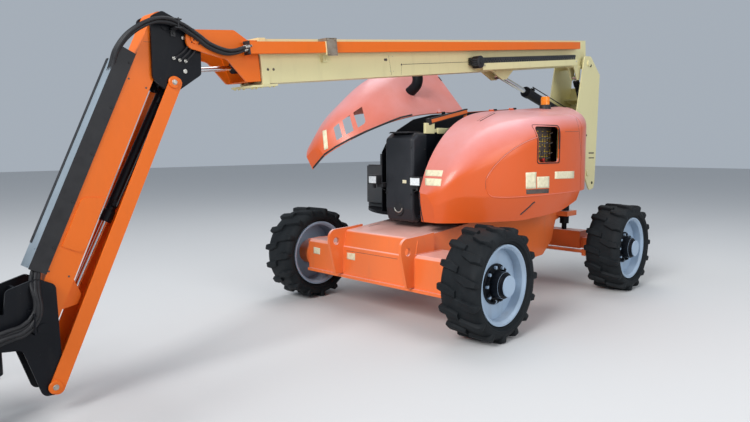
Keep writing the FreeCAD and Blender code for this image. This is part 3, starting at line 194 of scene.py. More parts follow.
def painted(name, base, faded_and_sky_sheen, dirt, fade_from=.35, fade_to=.95, rough=.38, fade_share=.85, grime=.5,
        coat=.15, gloss=.35):
    """Old paint: lighter on upward faces, partly sun fade and partly painted sky reflection, with dirt
    streaks, scuffs and orange-peel.
    """
    p = Paint(name)
    cloud = p.noise(2.2, 5, .6)
    streak = p.noise(9, 6, .65, (1, 1, .25))
    # Upward faces take the lighter second colour: sun fade, and a painted reflection of the sky.
    up = p.ramp(p.facing(), fade_from, fade_to)
    fade_and_sky_sheen = p.times(p.times(up, p.ramp(cloud, .25, .75, .55, 1)), fade_share)
    color = p.mix(fade_and_sky_sheen, base, faded_and_sky_sheen)
    wear = p.times(p.ramp(streak, .52, .82), grime)
    color = p.mix(wear, color, dirt)
    fleck = p.ramp(p.noise(160, 3, .7), .7, .76)
    color = p.mix(p.times(fleck, .35), color, tuple(.55 * v + .35 for v in base))
    p.bump(p.noise(420, 2, .5), .08, .001)
    return p.finish(color, p.ramp(cloud, .3, .8, rough - .08, rough + .2), 0, coat, gloss)


def plain(name, base, second, scale, rough, metal=0, bump=0, bump_scale=300, coat=0):
    """Two-tone surface with a grain of its own."""
    p = Paint(name)
    cloud = p.noise(scale, 6, .6)
    color = p.mix(p.ramp(cloud, .35, .7), base, second)
    if bump:
        p.bump(p.noise(bump_scale, 4, .6), bump, .001)
    return p.finish(color, p.ramp(cloud, .3, .7, rough - .06, rough + .1), metal, coat)


def tyre_material():
    """Black rubber with grey dust."""
    p = Paint("tyre_rubber")
    dust = p.ramp(p.noise(7, 8, .7), .45, .75)
    fine = p.noise(60, 6, .7)
    color = p.mix(p.times(dust, .55), (.006, .008, .01), (.024, .028, .031))
    color = p.mix(p.times(p.ramp(fine, .6, .8), .4), color, (.05, .052, .054))
    p.bump(fine, .35, .002)
    return p.finish(color, p.ramp(dust, 0, 1, .62, .88), gloss=.2)


# Rows: name, base colour, lighter colour for upward faces (sun fade and painted sky reflection), dirt
# colour, looks.
PAINTED = (
    ("chassis_orange", (.8, .17, .04), (.95, .64, .6), (.4, .16, .09),
     dict(grime=.22, fade_share=.95)),
    ("hood_orange", (.63, .096, .015), (.68, .37, .4), (.45, .12, .05),
     dict(fade_from=.15, fade_to=.8, grime=.14, fade_share=.9, rough=.36, coat=.2)),
    ("boom_orange", (.76, .142, .006), (.78, .17, .014), (.42, .1, .02),
     dict(grime=.16, rough=.42, coat=0)),
    ("boom_cream", (.7, .64, .35), (.76, .71, .46), (.4, .35, .2),
     dict(grime=.22, rough=.45, coat=0)),
    ("frame_black", (.004, .005, .008), (.011, .012, .015), (.03, .028, .026),
     dict(grime=.3, rough=.45, coat=0, gloss=.18)),
    ("platform_grey", (.36, .38, .4), (.46, .48, .5), (.22, .2, .18),
     dict(grime=.3)),
    ("engine_grey", (.055, .06, .065), (.09, .095, .1), (.1, .085, .07),
     dict(grime=.5, rough=.5)),
    ("rim_silver", (.32, .42, .54), (.42, .5, .6), (.18, .17, .17),
     dict(grime=.35, rough=.42)),
    ("weight_iron", (.03, .03, .033), (.05, .05, .055), (.085, .075, .065),
     dict(grime=.4, rough=.55)))
PLAIN = (
    ("rod_chrome", (.78, .79, .8), (.7, .71, .73), 4, .14, 1),
    ("bearing_steel", (.34, .33, .32), (.2, .17, .14), 9, .45, .9, .2),
    ("tray_aluminium", (.3, .36, .41), (.24, .29, .33), 5, .45, .3, .1),
    ("black_rubber", (.01, .01, .012), (.024, .024, .026), 12, .5, 0, .2, 200),
    ("cover_plastic", (.014, .016, .02), (.027, .029, .035), 3, .46, 0, .25, 500),
    ("black_plastic", (.016, .016, .018), (.034, .034, .036), 6, .42, 0, .2, 400),
    ("beacon_amber", (.85, .27, .01), (.75, .2, .01), 30, .2, 0, .1, 60, .5),
    ("label_cream", (.8, .74, .52), (.62, .56, .38), 30, .5),
    # label_dark is print, and also painted shade in holes, in slots and along creases.
    ("label_dark", (.06, .05, .05), (.12, .09, .07), 30, .5),
    ("zinc_steel", (.55, .54, .5), (.38, .36, .32), 40, .35, .9, .1),
    ("guide_steel", (.26, .2, .15), (.38, .33, .27), 12, .45, .6, .2),
    ("lamp_glass", (.86, .88, .88), (.62, .66, .68), 60, .12, 0, .1, 90, .6),
    ("red_plastic", (.62, .03, .02), (.45, .03, .02), 20, .35),
    ("yellow_plastic", (.78, .52, .03), (.62, .4, .03), 20, .4))
PAINTS = {row[0]: painted(*row[:4], **row[4]) for row in PAINTED}
PAINTS.update({row[0]: plain(*row) for row in PLAIN})
PAINTS["tyre_rubber"] = tyre_material()
for row in frame["record"]["subparts"]:
    thing = nodes[row["node"]]
    thing.data.materials.clear()
    thing.data.materials.append(PAINTS[row["material_slot"]])


# Shapes

def circle(middle, side, other, radius, count):
    """Points around a middle, in the plane of two directions."""
    return [middle + (side * cos(a) + other * sin(a)) * radius
        for a in (tau * k / count for k in range(count))]


class Shape:
    """Mesh under construction, in metres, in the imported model's frame."""

    def __init__(self):
        self.bm = bmesh.new()

    def hull(self, rows, faces):
        """Corners and the faces between them."""
        made = [self.bm.verts.new(row) for row in rows]
        for face in faces:
            self.bm.faces.new([made[index] for index in face])

    def rings(self, rings, closed=False, caps=True):
        """Skin through rings of equal count."""
        made = [[self.bm.verts.new(point) for point in ring] for ring in rings]
        count = len(made[0])
        pairs = list(zip(made, made[1:])) + ([(made[-1], made[0])] if closed else [])
        for one, two in pairs:
            for index in range(count):
                after = (index + 1) % count
                self.bm.faces.new((one[index], one[after], two[after], two[index]))
        if caps and not closed:
            self.bm.faces.new(list(reversed(made[0])))
            self.bm.faces.new(made[-1])

    def block(self, low, high, turn=None):
        """Block between two corners, turned into a member's frame where one is given."""
        rows = [Vector((x, y, z)) for x in (low[0], high[0]) for y in (low[1], high[1])
            for z in (low[2], high[2])]
        if turn:
            rows = [turn @ row for row in rows]
        self.hull(rows, ((0, 1, 3, 2), (4, 6, 7, 5), (0, 4, 5, 1), (2, 3, 7, 6), (0, 2, 6, 4),
            (1, 5, 7, 3)))

    def blocks(self, pairs, turn=None):
        for low, high in pairs:
            self.block(low, high, turn)

    def turned(self, start, end, profile, count=24):
        """Turned form between two points: profile rows are (share of the length, radius)."""
        start, end = Vector(start), Vector(end)
        ahead = (end - start).normalized()
        side = ahead.orthogonal().normalized()
        other = ahead.cross(side)
        self.rings([circle(start.lerp(end, share), side, other, radius, count)
            for share, radius in profile])

    def bar(self, start, end, radius, count=16, chamfer=0):
        """Round bar, its ends chamfered where there is room."""
        length = (Vector(end) - Vector(start)).length
        if chamfer and length > 2 * chamfer:
            edge = chamfer / length
            profile = ((0, radius - chamfer), (edge, radius), (1 - edge, radius), (1, radius - chamfer))
        else:
            profile = ((0, radius), (1, radius))
        self.turned(start, end, profile, count)

    def bolt(self, place, out, radius=.01, height=.007):
        """Hexagon head on a washer, standing on a surface."""
        place, out = Vector(place), Vector(out).normalized()
        self.bar(place - out * .001, place + out * .002, radius * 1.35, 20, .0006)
        self.turned(place + out * .002, place + out * (.002 + height),
            ((0, radius * 1.12), (.85, radius * 1.12), (1, radius * .98)), 6)

    def sweep(self, points, radius, count=12, smooth=6):
        """Round hose along a smooth line near its points."""
        line = smooth_line(points, smooth)
        rings = []
        side = None
        for index, point in enumerate(line):
            ahead = (line[min(index + 1, len(line) - 1)] - line[max(index - 1, 0)]).normalized()
            if side is None:
                side = ahead.orthogonal().normalized()
            side = (side - ahead * side.dot(ahead)).normalized()
            rings.append(circle(point, side, ahead.cross(side), radius, count))
        self.rings(rings)

    def strip(self, rows):
        """Open sheet through rows of points."""
        made = [[self.bm.verts.new(point) for point in row] for row in rows]
        for one, two in zip(made, made[1:]):
            for a, b, c, d in zip(one, one[1:], two[1:], two):
                self.bm.faces.new((a, b, c, d))

    def mesh(self, name):
        """The finished mesh."""
        bmesh.ops.remove_doubles(self.bm, verts=self.bm.verts, dist=1e-6)
        bmesh.ops.recalc_face_normals(self.bm, faces=self.bm.faces)
        made = bpy.data.meshes.new(name)
        self.bm.to_mesh(made)
        self.bm.free()
        return made


def smooth_line(points, steps):
    """Catmull-Rom line through the points."""
    rows = [Vector(point) for point in points]
    if len(rows) < 3:
        return rows
    rows = [rows[0] * 2 - rows[1]] + rows + [rows[-1] * 2 - rows[-2]]
    line = []
    for a, b, c, d in zip(rows, rows[1:], rows[2:], rows[3:]):
        for step in range(steps):
            t = step / steps
            line.append(.5 * ((2 * b) + (c - a) * t + (2 * a - 5 * b + 4 * c - d) * t * t +
                (3 * b - a - 3 * c + d) * t * t * t))
    line.append(rows[-2])
    return line


def piece(name, shape, body, paint, bevel=0, smooth=35, segments=2):
    """Finishes a shape as an object that rides on a body."""
    mesh = shape.mesh(name)
    mesh.materials.append(PAINTS[paint])
    thing = add(name, mesh)
    for polygon in mesh.polygons:
        polygon.use_smooth = True
    mesh.set_sharp_from_angle(angle=radians(smooth))
    if bevel:
        edge = thing.modifiers.new("edge", "BEVEL")
        edge.width = bevel
        edge.segments = segments
        edge.limit_method = "ANGLE"
        edge.angle_limit = radians(40)
        edge.harden_normals = True
    if body:
        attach(thing, body)
    return thing


def boxes(name, pairs, body, paint, turn=None, bolts=(), **looks):
    """Piece made of blocks, with bolts where they are given: their places, direction, radius and height."""
    shape = Shape()
    shape.blocks(pairs, turn)
    if bolts:
        places, out, radius, height = bolts
        for place in places:
            shape.bolt(place, out, radius, height)
    piece(name, shape, body, paint, **looks)


def knob(name, start, end, profile, count, body, paint, **looks):
    """Piece made of one turned form."""
    shape = Shape()
    shape.turned(start, end, profile, count)
    piece(name, shape, body, paint, **looks)


def line_frame(pin, angle):
    """Places along a sloping member: at(u along it, y across, n square to it)."""
    ahead = Vector((cos(angle), 0, sin(angle)))
    over = Vector((-sin(angle), 0, cos(angle)))
    start = Vector((pin[0], 0, pin[1]))

    def at(u, y, n):
        return start + ahead * u + over * n + Vector((0, y, 0))

    turn = Matrix((ahead, (0, 1, 0), over)).transposed().to_4x4()
    turn.translation = start
    return SimpleNamespace(at=at, ahead=ahead, over=over, turn=turn)


MAIN = line_frame((-2.27, 2.56), radians(-6.5))
JIB = line_frame((3.362, 2.288), atan2(-1.77, .8))
TOWER = line_frame((-2.33, 1.18), atan2(.24, 3.05))
RAIL = line_frame((.272, 1.868), atan2(-.113, .57))


@cache
def tree(name):
    """Search tree of a node's faces."""
    mesh = nodes[name].data
    return BVHTree.FromPolygons([v.co for v in mesh.vertices], [p.vertices for p in mesh.polygons])


def sight(px, py):
    """The photo's eye point and its line of sight through a pixel."""
    view = bpy.context.scene.camera.matrix_world
    ray = view.to_3x3() @ Vector(((px - CENTRE_X) / FOCAL, (CENTRE_Y - py) / FOCAL, -1))
    return view.to_translation(), ray.normalized()


def seen(px, py, name):
    """Where the line of sight through a pixel meets a node, and which way it faces there."""
    eye, ray = sight(px, py)
    spot, normal, _, _ = tree(name).ray_cast(eye, ray)
    return (spot, normal if normal.dot(ray) < 0 else -normal) if spot else None


def across(px, py, y):
    """Where the line of sight through a pixel crosses an upright plane."""
    eye, ray = sight(px, py)
    return eye + ray * ((y - eye.y) / ray.y)


def label(name, corners, node, paint="label_cream", steps=6):
    """Thin blank plate on a node; its corners are photo pixels, clockwise from the upper left."""
    a, b, c, d = (Vector(corner) for corner in corners)
    rows = []
    for i in range(steps + 1):
        row = []
        for k in range(steps + 1):
            spot = a.lerp(b, k / steps).lerp(d.lerp(c, k / steps), i / steps)
            place, out = seen(spot.x, spot.y, node)
            row.append(place + out * .0006)
        rows.append(row)
    shape = Shape()
    shape.strip(rows)
    sheet = piece(name, shape, BODY[node], paint).modifiers.new("sheet", "SOLIDIFY")
    sheet.thickness = .0008
    sheet.offset = 0


def trace(name, pixels, node, paint, width, height):
    """Low strip along a line of photo pixels on a node."""
    line = []
    for (x0, y0), (x1, y1) in zip(pixels, pixels[1:]):
        count = max(2, int(hypot(x1 - x0, y1 - y0) / 2))
        line += [(x0 + (x1 - x0) * k / count, y0 + (y1 - y0) * k / count) for k in range(count)]
    spots = [spot for spot in (seen(x, y, node) for x, y in line + [pixels[-1]]) if spot]
    rings = []
    for index, (place, out) in enumerate(spots):
        ahead = (spots[min(index + 1, len(spots) - 1)][0] - spots[max(index - 1, 0)][0]).normalized()
        side = out.cross(ahead).normalized() * width / 2
        rings.append([place + side - out * .001, place + side * .5 + out * height,
            place - side * .5 + out * height, place - side - out * .001])
    shape = Shape()
    shape.rings(rings)
    piece(name, shape, BODY[node], paint, smooth=60)


# Wheels

TREAD_TOP = ((0, .4545), (.046, .4545), (.092, .4545), (.15, .454), (.1705, .4465), (.1772, .432),
    (.1775, .405), (.176, .38))
TREAD_BASE = ((0, .422), (.046, .422), (.092, .422), (.138, .416), (.15, .408), (.158, .4), (.162, .388),
    (.164, .372))
TREAD_SPAN = ((-.045, .005), (-.0346, .025), (-.0243, .045), (-.0112, .045), (-.0066, .045), (-.005, .044),
    (-.002, .04), (.004, .034))
TREAD_REACH, LUGS, LUG_START, RING_COUNT = .4548, 15, 5.68, 90
CARCASS = ((.302, .1255), (.3235, .1325), (.328, .1415), (.336, .1505), (.342, .152), (.35, .17),
    (.358, .1735), (.364, .1712), (.372, .1755), (.395, .172), (.415, .155), (.427, .13), (.43, .1),
    (.4305, 0))


def tyre(name, place):
    """Tyre with its two rows of lugs, in place of the plain solid."""
    shape = Shape()
    profile = list(CARCASS) + [(r, -y) for r, y in reversed(CARCASS[:-1])] + [(.3, -.11), (.3, .11)]
    shape.rings([[place(r * sin(a), y, r * cos(a)) for r, y in profile]
        for a in (tau * k / RING_COUNT for k in range(RING_COUNT))], closed=True)
    for side in (1, -1):
        for index in range(LUGS):
            turn = radians((index + (0 if side > 0 else .5)) * 360 / LUGS + LUG_START)
            rings = []
            for (yt, rt), (yb, rb), (left, right) in zip(TREAD_TOP, TREAD_BASE, TREAD_SPAN):
                section = []
                for across_x, share in ((left - .004, 0), (left, .78), (left + .006, 1), (right - .006, 1),
                        (right, .78), (right + .004, 0)):
                    y, r = yb + (yt - yb) * share, rb + (rt - rb) * share
                    x = across_x * side
                    r = min(r, sqrt(TREAD_REACH ** 2 - x * x))
                    section.append(place(x * cos(turn) + r * sin(turn), y * side,
                        r * cos(turn) - x * sin(turn)))
                rings.append(section)
            shape.rings(rings)
    thing = piece("tread_" + name, shape, "wheel_" + name, "tyre_rubber", smooth=32)
    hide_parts("tyre_" + name)


HUB_FOOT, HUB_LENGTH, NUT_CIRCLE, SCREW_CIRCLE = .054, .14, .1375, .068
HUB_COVER = ((.0541, .1618), (.0665, .1618), (.07, .157), (.0705, .112), (.076, .108), (.146, .1075),
    (.152, .102), (.1525, .09), (.156, .086), (.18, .085), (.1835, .08), (.1838, .03), (.1855, .028),
    (.186, .0001))


def hub(name, place):
    """Black hub cover, wheel nuts on their studs, and the tyre's valve."""
    body = "wheel_" + name
    start, end = place(0, HUB_FOOT, 0), place(0, HUB_FOOT + HUB_LENGTH, 0)
    cover = Shape()
    cover.turned(start, end, [((y - HUB_FOOT) / HUB_LENGTH, r) for y, r in HUB_COVER], 48)
    piece("hub_cover_" + name, cover, body, "frame_black", smooth=30)
    nuts = Shape()
    for k in range(9):
        a = radians(40 * k)
        x, z = NUT_CIRCLE * sin(a), NUT_CIRCLE * cos(a)
        foot, top = place(x, .068, z), place(x, .0885, z)
        nuts.turned(foot, top, ((0, .0215), (.15, .0215), (.16, .017), (.85, .017), (1, .0145)), 6)
        nuts.bar(top, place(x, .099, z), .0085, 12, .0015)
    for k in range(6):
        a = radians(60 * k + 20)
        nuts.bolt(place(SCREW_CIRCLE * sin(a), .1837, SCREW_CIRCLE * cos(a)), end - start, .0062, .004)
    piece("hub_nuts_" + name, nuts, body, "frame_black", bevel=.0006)
    valve = Shape()
    valve.bar(place(.262, .054, .06), place(.262, .105, .06), .004, 10, .001)
    valve.bar(place(.262, .105, .06), place(.262, .117, .06), .0052, 10, .001)
    piece("valve_" + name, valve, body, "black_rubber")


AXLE_X, WHEEL_Y, WHEEL_Z = 1.22, 1.095, .455
for axle, x in (("drive", AXLE_X), ("steer", -AXLE_X)):
    for flank, side in (("tank", 1), ("engine", -1)):
        def place(lx, ly, lz, x=x, side=side):
            return Vector((x + lx, side * (WHEEL_Y + ly), WHEEL_Z + lz))
        tyre(axle + "_" + flank, place)
        hub(axle + "_" + flank, place)


# Hoses from the telescope's push tube over the boom head to the jib's tray

HEAD_LINE = ((2.797, .182, 2.203), (2.85, .182, 2.185), (2.905, .172, 2.165), (2.975, .158, 2.16),
    (3.085, .15, 2.188), (3.17, .15, 2.235), (3.259, .15, 2.28), (3.312, .15, 2.297))
JIB_LINE = ((3.312, .15, 2.297), (3.37, .152, 2.308), (3.455, .15, 2.298), (3.545, .142, 2.252),
    (3.62, .12, 2.185), (3.668, .085, 2.1), (3.682, .05, 2.02), (3.7, .03, 1.95), (3.733, .02, 1.865))
HOSE, FOOT_HOSE = .0105, .0118
BUNDLE = ((-.024, .011), (0, .013), (.024, .011), (-.012, -.01), (.012, -.009))


def bundle(line):
    """Five hoses beside a line."""
    return [[(x, y + a, z + b) for x, y, z in line] for a, b in BUNDLE]


def hoses(name, lines, radius, bodies):
    """Bundle on one body, or left unattached where it spans the joint between two."""
    shape = Shape()
    for line in lines:
        shape.sweep(line, radius)
    thing = piece(name, shape, bodies[0] if len(bodies) == 1 else None, "black_rubber", smooth=50)
    if len(bodies) == 2:
        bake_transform(thing)


hoses("head_hoses", bundle(HEAD_LINE), HOSE, ("fly_boom", "jib_bracket"))
hoses("jib_head_hoses", bundle(JIB_LINE), HOSE, ("jib_bracket", "jib_arm"))
fittings = Shape()
for a, b in BUNDLE:
    x, y, z = HEAD_LINE[0]
    fittings.turned((x - .006, y + a, z + b + .002), (x + .046, y + a, z + b - .016),
        ((0, .0095), (.3, .0095), (.31, .0125), (.62, .0125), (.63, .0115), (1, .0115)), 12)
piece("head_hose_fittings", fittings, "fly_boom", "zinc_steel", smooth=30)
boxes("push_tube_end_plate", (((5.0855, .149, .172), (5.0945, .215, .264)),), "fly_boom", "black_plastic",
    MAIN.turn, ([MAIN.at(5.0945, y, n) for n in (.182, .254) for y in (.158, .206)], MAIN.ahead, .005,
    .004), bevel=.0012)
clamp = Shape()
clamp.blocks((((3.29, .1165, 2.268), (3.334, .185, 2.275)), ((3.29, .1165, 2.319), (3.334, .185, 2.327)),
    ((3.296, .1015, 2.225), (3.328, .1095, 2.272)), ((3.296, .1015, 2.264), (3.328, .12, 2.272))))
for y in (.1195, .182):
    clamp.bar((3.312, y, 2.266), (3.312, y, 2.333), .0035, 10)
clamp.bolt((3.312, .1095, 2.245), (0, 1, 0), .006, .005)
piece("head_hose_clamp", clamp, "jib_bracket", "black_plastic", bevel=.001)


# Jib: black side strip on the tray, hoses to the platform and to the head's cylinders

boxes("jib_side_strip", (((.25, .0765, .087), (1.65, .0805, .1885)),
    ((.322, -.0675, .1875), (1.508, -.03, .1893))), "jib_arm", "black_rubber", JIB.turn,
    ([JIB.at(u, .0805, .105) for u in (.32, .62, .92, 1.22, 1.5)], (0, 1, 0), .0055, .004), bevel=.0012)
boxes("jib_tray_end", (
    ((1.499, -.0655, .1848), (1.645, .0755, .1868)), ((1.499, -.0655, .1255), (1.645, .0755, .1275)),
    ((1.499, .0735, .1255), (1.645, .0755, .1868)), ((1.499, -.0655, .1255), (1.645, -.0635, .1868))),
    "jib_arm", "tray_aluminium", JIB.turn,
    ([JIB.at(u, .045, .1868) for u in (1.53, 1.632)], JIB.over, .006, .004), bevel=.0008)
FOOT_LINE = ((4.135, .03, .93), (4.16, .045, .865), (4.186, .085, .795), (4.197, .125, .74),
    (4.193, .144, .675), (4.203, .148, .615), (4.236, .148, .566))
FOOT_RUN = ((4.236, .148, .566), (4.282, .147, .539), (4.34, .14, .527), (4.395, .125, .508),
    (4.44, .102, .478))
FOOT_BUNDLE = ((-.034, .006), (-.012, -.008), (.012, .008), (.034, -.006))


def fan(line, offsets, turning):
    """Hoses side by side: spread sideways at first, then upright as the bundle turns."""
    count = len(line) - 1
    rows = []
    for spread, depth in offsets:
        row = []
        for index, (x, y, z) in enumerate(line):
            level = turning[0] + (turning[1] - turning[0]) * index / count
            narrow = spread * (.55 if turning[0] == 0 and index < 2 else 1)
            row.append((x - .5 * narrow * (1 - level) + depth * .5,
                y + .45 * narrow * (1 - level) + depth * .5, z - narrow * level))
        rows.append(row)
    return rows


hoses("jib_foot_hoses", fan(FOOT_LINE, FOOT_BUNDLE, (0, .75)), FOOT_HOSE, ("jib_arm", "platform_bracket"))
hoses("rotator_hoses", fan(FOOT_RUN, FOOT_BUNDLE, (.75, .75)), FOOT_HOSE, ("platform_bracket",))
boxes("foot_hose_clamp", (
    ((4.218, .1015, .505), (4.226, .172, .512)), ((4.218, .1015, .505), (4.226, .109, .625)),
    ((4.218, .1015, .618), (4.226, .172, .625)), ((4.218, .168, .505), (4.226, .173, .625)),
    ((4.206, .1015, .605), (4.238, .109, .64))),
    "platform_bracket", "frame_black", None, ([(4.222, .109, .632)], (0, 1, 0), .006, .005), bevel=.001)
THIN_HOSE, THIN_Y, THIN_TOP, PORT_Y, CHEEK_Y = .005, .122, .145, .112, .1005
thin_lines = [[across(px, py, THIN_Y) for px, py in row] for row in (
    ((199, 41), (197, 47), (193, 54), (187, 61)), ((196, 40), (193, 46), (188, 53), (181, 60)),
    ((193, 39), (189, 45), (183, 52), (175, 58)))]
ports = Shape()
for row in thin_lines:
    row[0].y = THIN_TOP
    row[-1].y = PORT_Y
    port = Vector((row[-1].x, CHEEK_Y, row[-1].z))
    ports.turned(port, port + Vector((0, .016, 0)), ((0, .0115), (.45, .0115), (.5, .0085), (1, .0085)), 6)
piece("cylinder_ports", ports, "jib_bracket", "zinc_steel", smooth=30)
hoses("cylinder_hoses", thin_lines, THIN_HOSE, ("jib_bracket",))

# Hoods: pressed lines with painted shade along their edges, seams, latch, blank plates and the window's
# seal

trace("hood_arc", ((544, 135.8), (535.5, 138.2), (527.1, 141.6), (519.5, 145.6), (512.7, 149.9), (506, 155),
    (499.8, 161.1), (494.2, 167.2), (489.8, 173.3), (487.1, 178), (486.2, 182.5), (486.2, 189.1),
    (488.3, 194.1), (491.2, 196.6), (495, 197.4), (507, 197.6), (518.5, 197.2), (536, 195.8),
    (554.3, 194.1), (566, 192.6), (575.9, 191.3)), "tank_hood", "hood_orange", .011, .0035)
# Thin dark strip along the crease's upper edge: painted shadow of the crease.
trace("hood_arc_shadow_line", ((544, 135.1), (535.5, 137.5), (527.1, 140.9), (519.5, 144.9), (512.2, 149.3),
    (505.4, 154.5), (499.2, 160.6), (493.5, 166.8), (489.1, 172.9), (486.4, 177.6), (485.4, 182.5),
    (485.4, 189.1)), "tank_hood", "label_dark", .0028, .0012)
# Dark line at the hood's step: painted shade of the step.
trace("hood_step_shade", ((565.1, 131.6), (572, 131.5), (578.6, 131.5)), "tank_hood", "label_dark", .004, .0012)
trace("roof_seam", ((477, 121), (484, 117.2), (492, 112.9), (498, 110.3), (504, 108.6)), "tank_hood",
    "label_dark", .005, .0012)
trace("roof_strap", ((480, 121.2), (488, 116.8), (495, 113.2)), "tank_hood", "black_rubber", .009, .003)
trace("hood_latch", ((534.7, 201.9), (532.5, 203.4), (529.5, 206.6), (525, 210.5), (520.3, 214.6)),
    "tank_hood", "black_rubber", .014, .006)
for name, corners, paint in (
        ("front_upper", ((425.6, 169.8), (443.2, 170.4), (441.8, 176.6), (425, 175.8)), "label_cream"),
        ("front_lower", ((424.8, 178), (441.6, 178.9), (440.6, 186.2), (425.4, 185.4)), "label_cream"),
        ("side_tall", ((525.7, 172.6), (536.4, 172), (536.2, 188.4), (525.8, 189)), "label_cream"),
        ("side_low", ((537.1, 176.8), (549.3, 176.3), (549.2, 187.8), (537.2, 188.3)), "label_cream"),
        ("side_strip", ((526.2, 189.7), (548.8, 188.5), (548.7, 193), (526.3, 194.3)), "label_dark"),
        ("rear", ((554.8, 171.6), (574.2, 171), (574, 178.3), (554.7, 179)), "label_cream")):
    label("plate_" + name, corners, "tank_hood", paint)


def rounded(rows, radius, steps=5):
    """Rounded outline in a plane."""
    out = []
    for index, row in enumerate(rows):
        here, before, after = Vector(row), Vector(rows[index - 1]), Vector(rows[(index + 1) % len(rows)])
        one, two = here + (before - here).normalized() * radius, here + (after - here).normalized() * radius
        for t in (k / steps for k in range(steps + 1)):
            out.append(one * (1 - t) ** 2 + here * 2 * t * (1 - t) + two * t * t)
    return out


def divided(rows, longest=.03, steps=8):
    """The outline with its long sides divided, so that it can follow the hood."""
    out = []
    for row, after in zip(rows, rows[1:] + rows[:1]):
        count = steps if (after - row).length > longest else 1
        out += [row.lerp(after, k / count) for k in range(count)]
    return out


WINDOW = ((.06, 1.372), (.383, 1.372), (.383, 1.716), (.06, 1.716))
window = Shape()
middle = Vector((.2215, 1.544))
rings = []
for row in divided(rounded(WINDOW, .03)):
    place, out, _, _ = tree("tank_hood").ray_cast(Vector((row.x, 2, row.y)), Vector((0, -1, 0)))
    inward = (middle - row).normalized()
    lip = Vector((inward.x, 0, inward.y)) * .01
    rings.append([place - out * .0005, place + out * .004, place + out * .004 + lip,
        place - out * .006 + lip])
window.rings(rings, closed=True)
piece("window_seal", window, "tank_hood", "black_rubber", smooth=50)

# Lamps, front cover and beacon

LAMP_LOW, LAMP_HIGH, LAMP_Y = 1.18, 1.264, .268
for flank, side, y0, y1 in (("tank", 1, .205, .332), ("engine", -1, -.309, -.196)):
    lamp = Shape()
    lamp.block((1.15, y0 + .008, 1.186), (1.1585, y1 - .008, 1.256))
    piece("lamp_glass_" + flank, lamp, "turntable", "lamp_glass", bevel=.006, segments=3)
    rimmed = Shape()
    rimmed.block((1.093, y0, LAMP_LOW), (1.1508, y1, LAMP_HIGH))
    rimmed.blocks((((1.15, y0, LAMP_LOW), (1.16, y0 + .009, LAMP_HIGH)),
        ((1.15, y1 - .009, LAMP_LOW), (1.16, y1, LAMP_HIGH)), ((1.15, y0, LAMP_LOW), (1.16, y1, 1.189)),
        ((1.15, y0, 1.255), (1.16, y1, LAMP_HIGH))))
    for k in range(5):
        rimmed.block((1.086, y0 + .012, 1.19 + .015 * k), (1.094, y1 - .012, 1.195 + .015 * k))
    rimmed.bolt((1.118, side * LAMP_Y, 1.1785), (0, 0, -1), .008, .008)
    rimmed.block((1.108, side * LAMP_Y - .012, 1.14), (1.128, side * LAMP_Y + .012, 1.179))
    piece("lamp_rim_" + flank, rimmed, "turntable", "black_plastic", bevel=.002)
    lead = Shape()
    lead.sweep(((1.092, side * LAMP_Y, 1.215), (1.07, side * .262, 1.19), (1.06, side * .235, 1.15),
        (1.062, side * .2, 1.13), (1.06, side * .172, 1.12)), .004, 8)
    piece("lamp_lead_" + flank, lead, "turntable", "black_rubber", smooth=50)
cover = Shape()
for k in range(9):
    x = .905 + k * .0185
    cover.block((x, -.118, 1.65), (x + .008, .118, 1.664))
cover.block((.893, -.126, 1.65), (1.068, .126, 1.656))
piece("cover_cap", cover, "turntable", "black_plastic", bevel=.0015)
screws = Shape()
screws.turned((1.0735, 0, .958), (1.0765, 0, .958), ((0, .062), (.5, .062), (1, .058)), 32)
for z in (1.1, 1.52):
    for y in (-.15, .15):
        screws.bolt((1.0752, y, z), (1, 0, 0), .007, .004)
for z in (.9, 1.2, 1.5):
    screws.bolt((.905, .1702, z), (0, 1, 0), .007, .004)
piece("cover_screws", screws, "turntable", "black_plastic", bevel=.0008)
lip = Shape()
rings = []
for k in range(25):
    a = radians(180 + 7.5 * k)
    middle = Vector((1.0765, .046 * cos(a), .968 + .04 * sin(a)))
    rings.append(circle(middle, Vector((0, cos(a), sin(a))), Vector((1, 0, 0)), .006, 8))
lip.rings(rings)
piece("cover_hand_hole_lip", lip, "turntable", "zinc_steel", smooth=60)
boxes("cover_plate", (((1.0749, .052, 1.196), (1.076, .098, 1.226)),), "turntable", "label_cream")
BEACON_X, BEACON_Y = -.84, .405
knob("beacon_base", (BEACON_X, BEACON_Y, 1.9), (BEACON_X, BEACON_Y, 1.97),
    ((0, .0605), (.85, .0605), (.93, .057), (1, .046)), 32, "turntable", "black_rubber", smooth=40)
dome = Shape()
dome.bar((BEACON_X, BEACON_Y, 1.966), (BEACON_X, BEACON_Y, 2.0555), .0435, 40)
for k in range(20):
    a = tau * k / 20
    x, y = BEACON_X + .0432 * cos(a), BEACON_Y + .0432 * sin(a)
    dome.bar((x, y, 1.972), (x, y, 2.046), .0026, 6)
piece("beacon_lens", dome, "turntable", "beacon_amber", smooth=35)


# Engine hood: the vents in its nose, its seals and blank plate

def prism(pixels, near, far):
    """Cutter between two distances from the eye, with its outline in the photo's pixels."""
    shape = Shape()
    rays = [sight(px, py) for px, py in pixels]
    shape.rings([[eye + ray * reach for eye, ray in rays] for reach in (near, far)])
    return add("cutter", shape.mesh("cutter"))


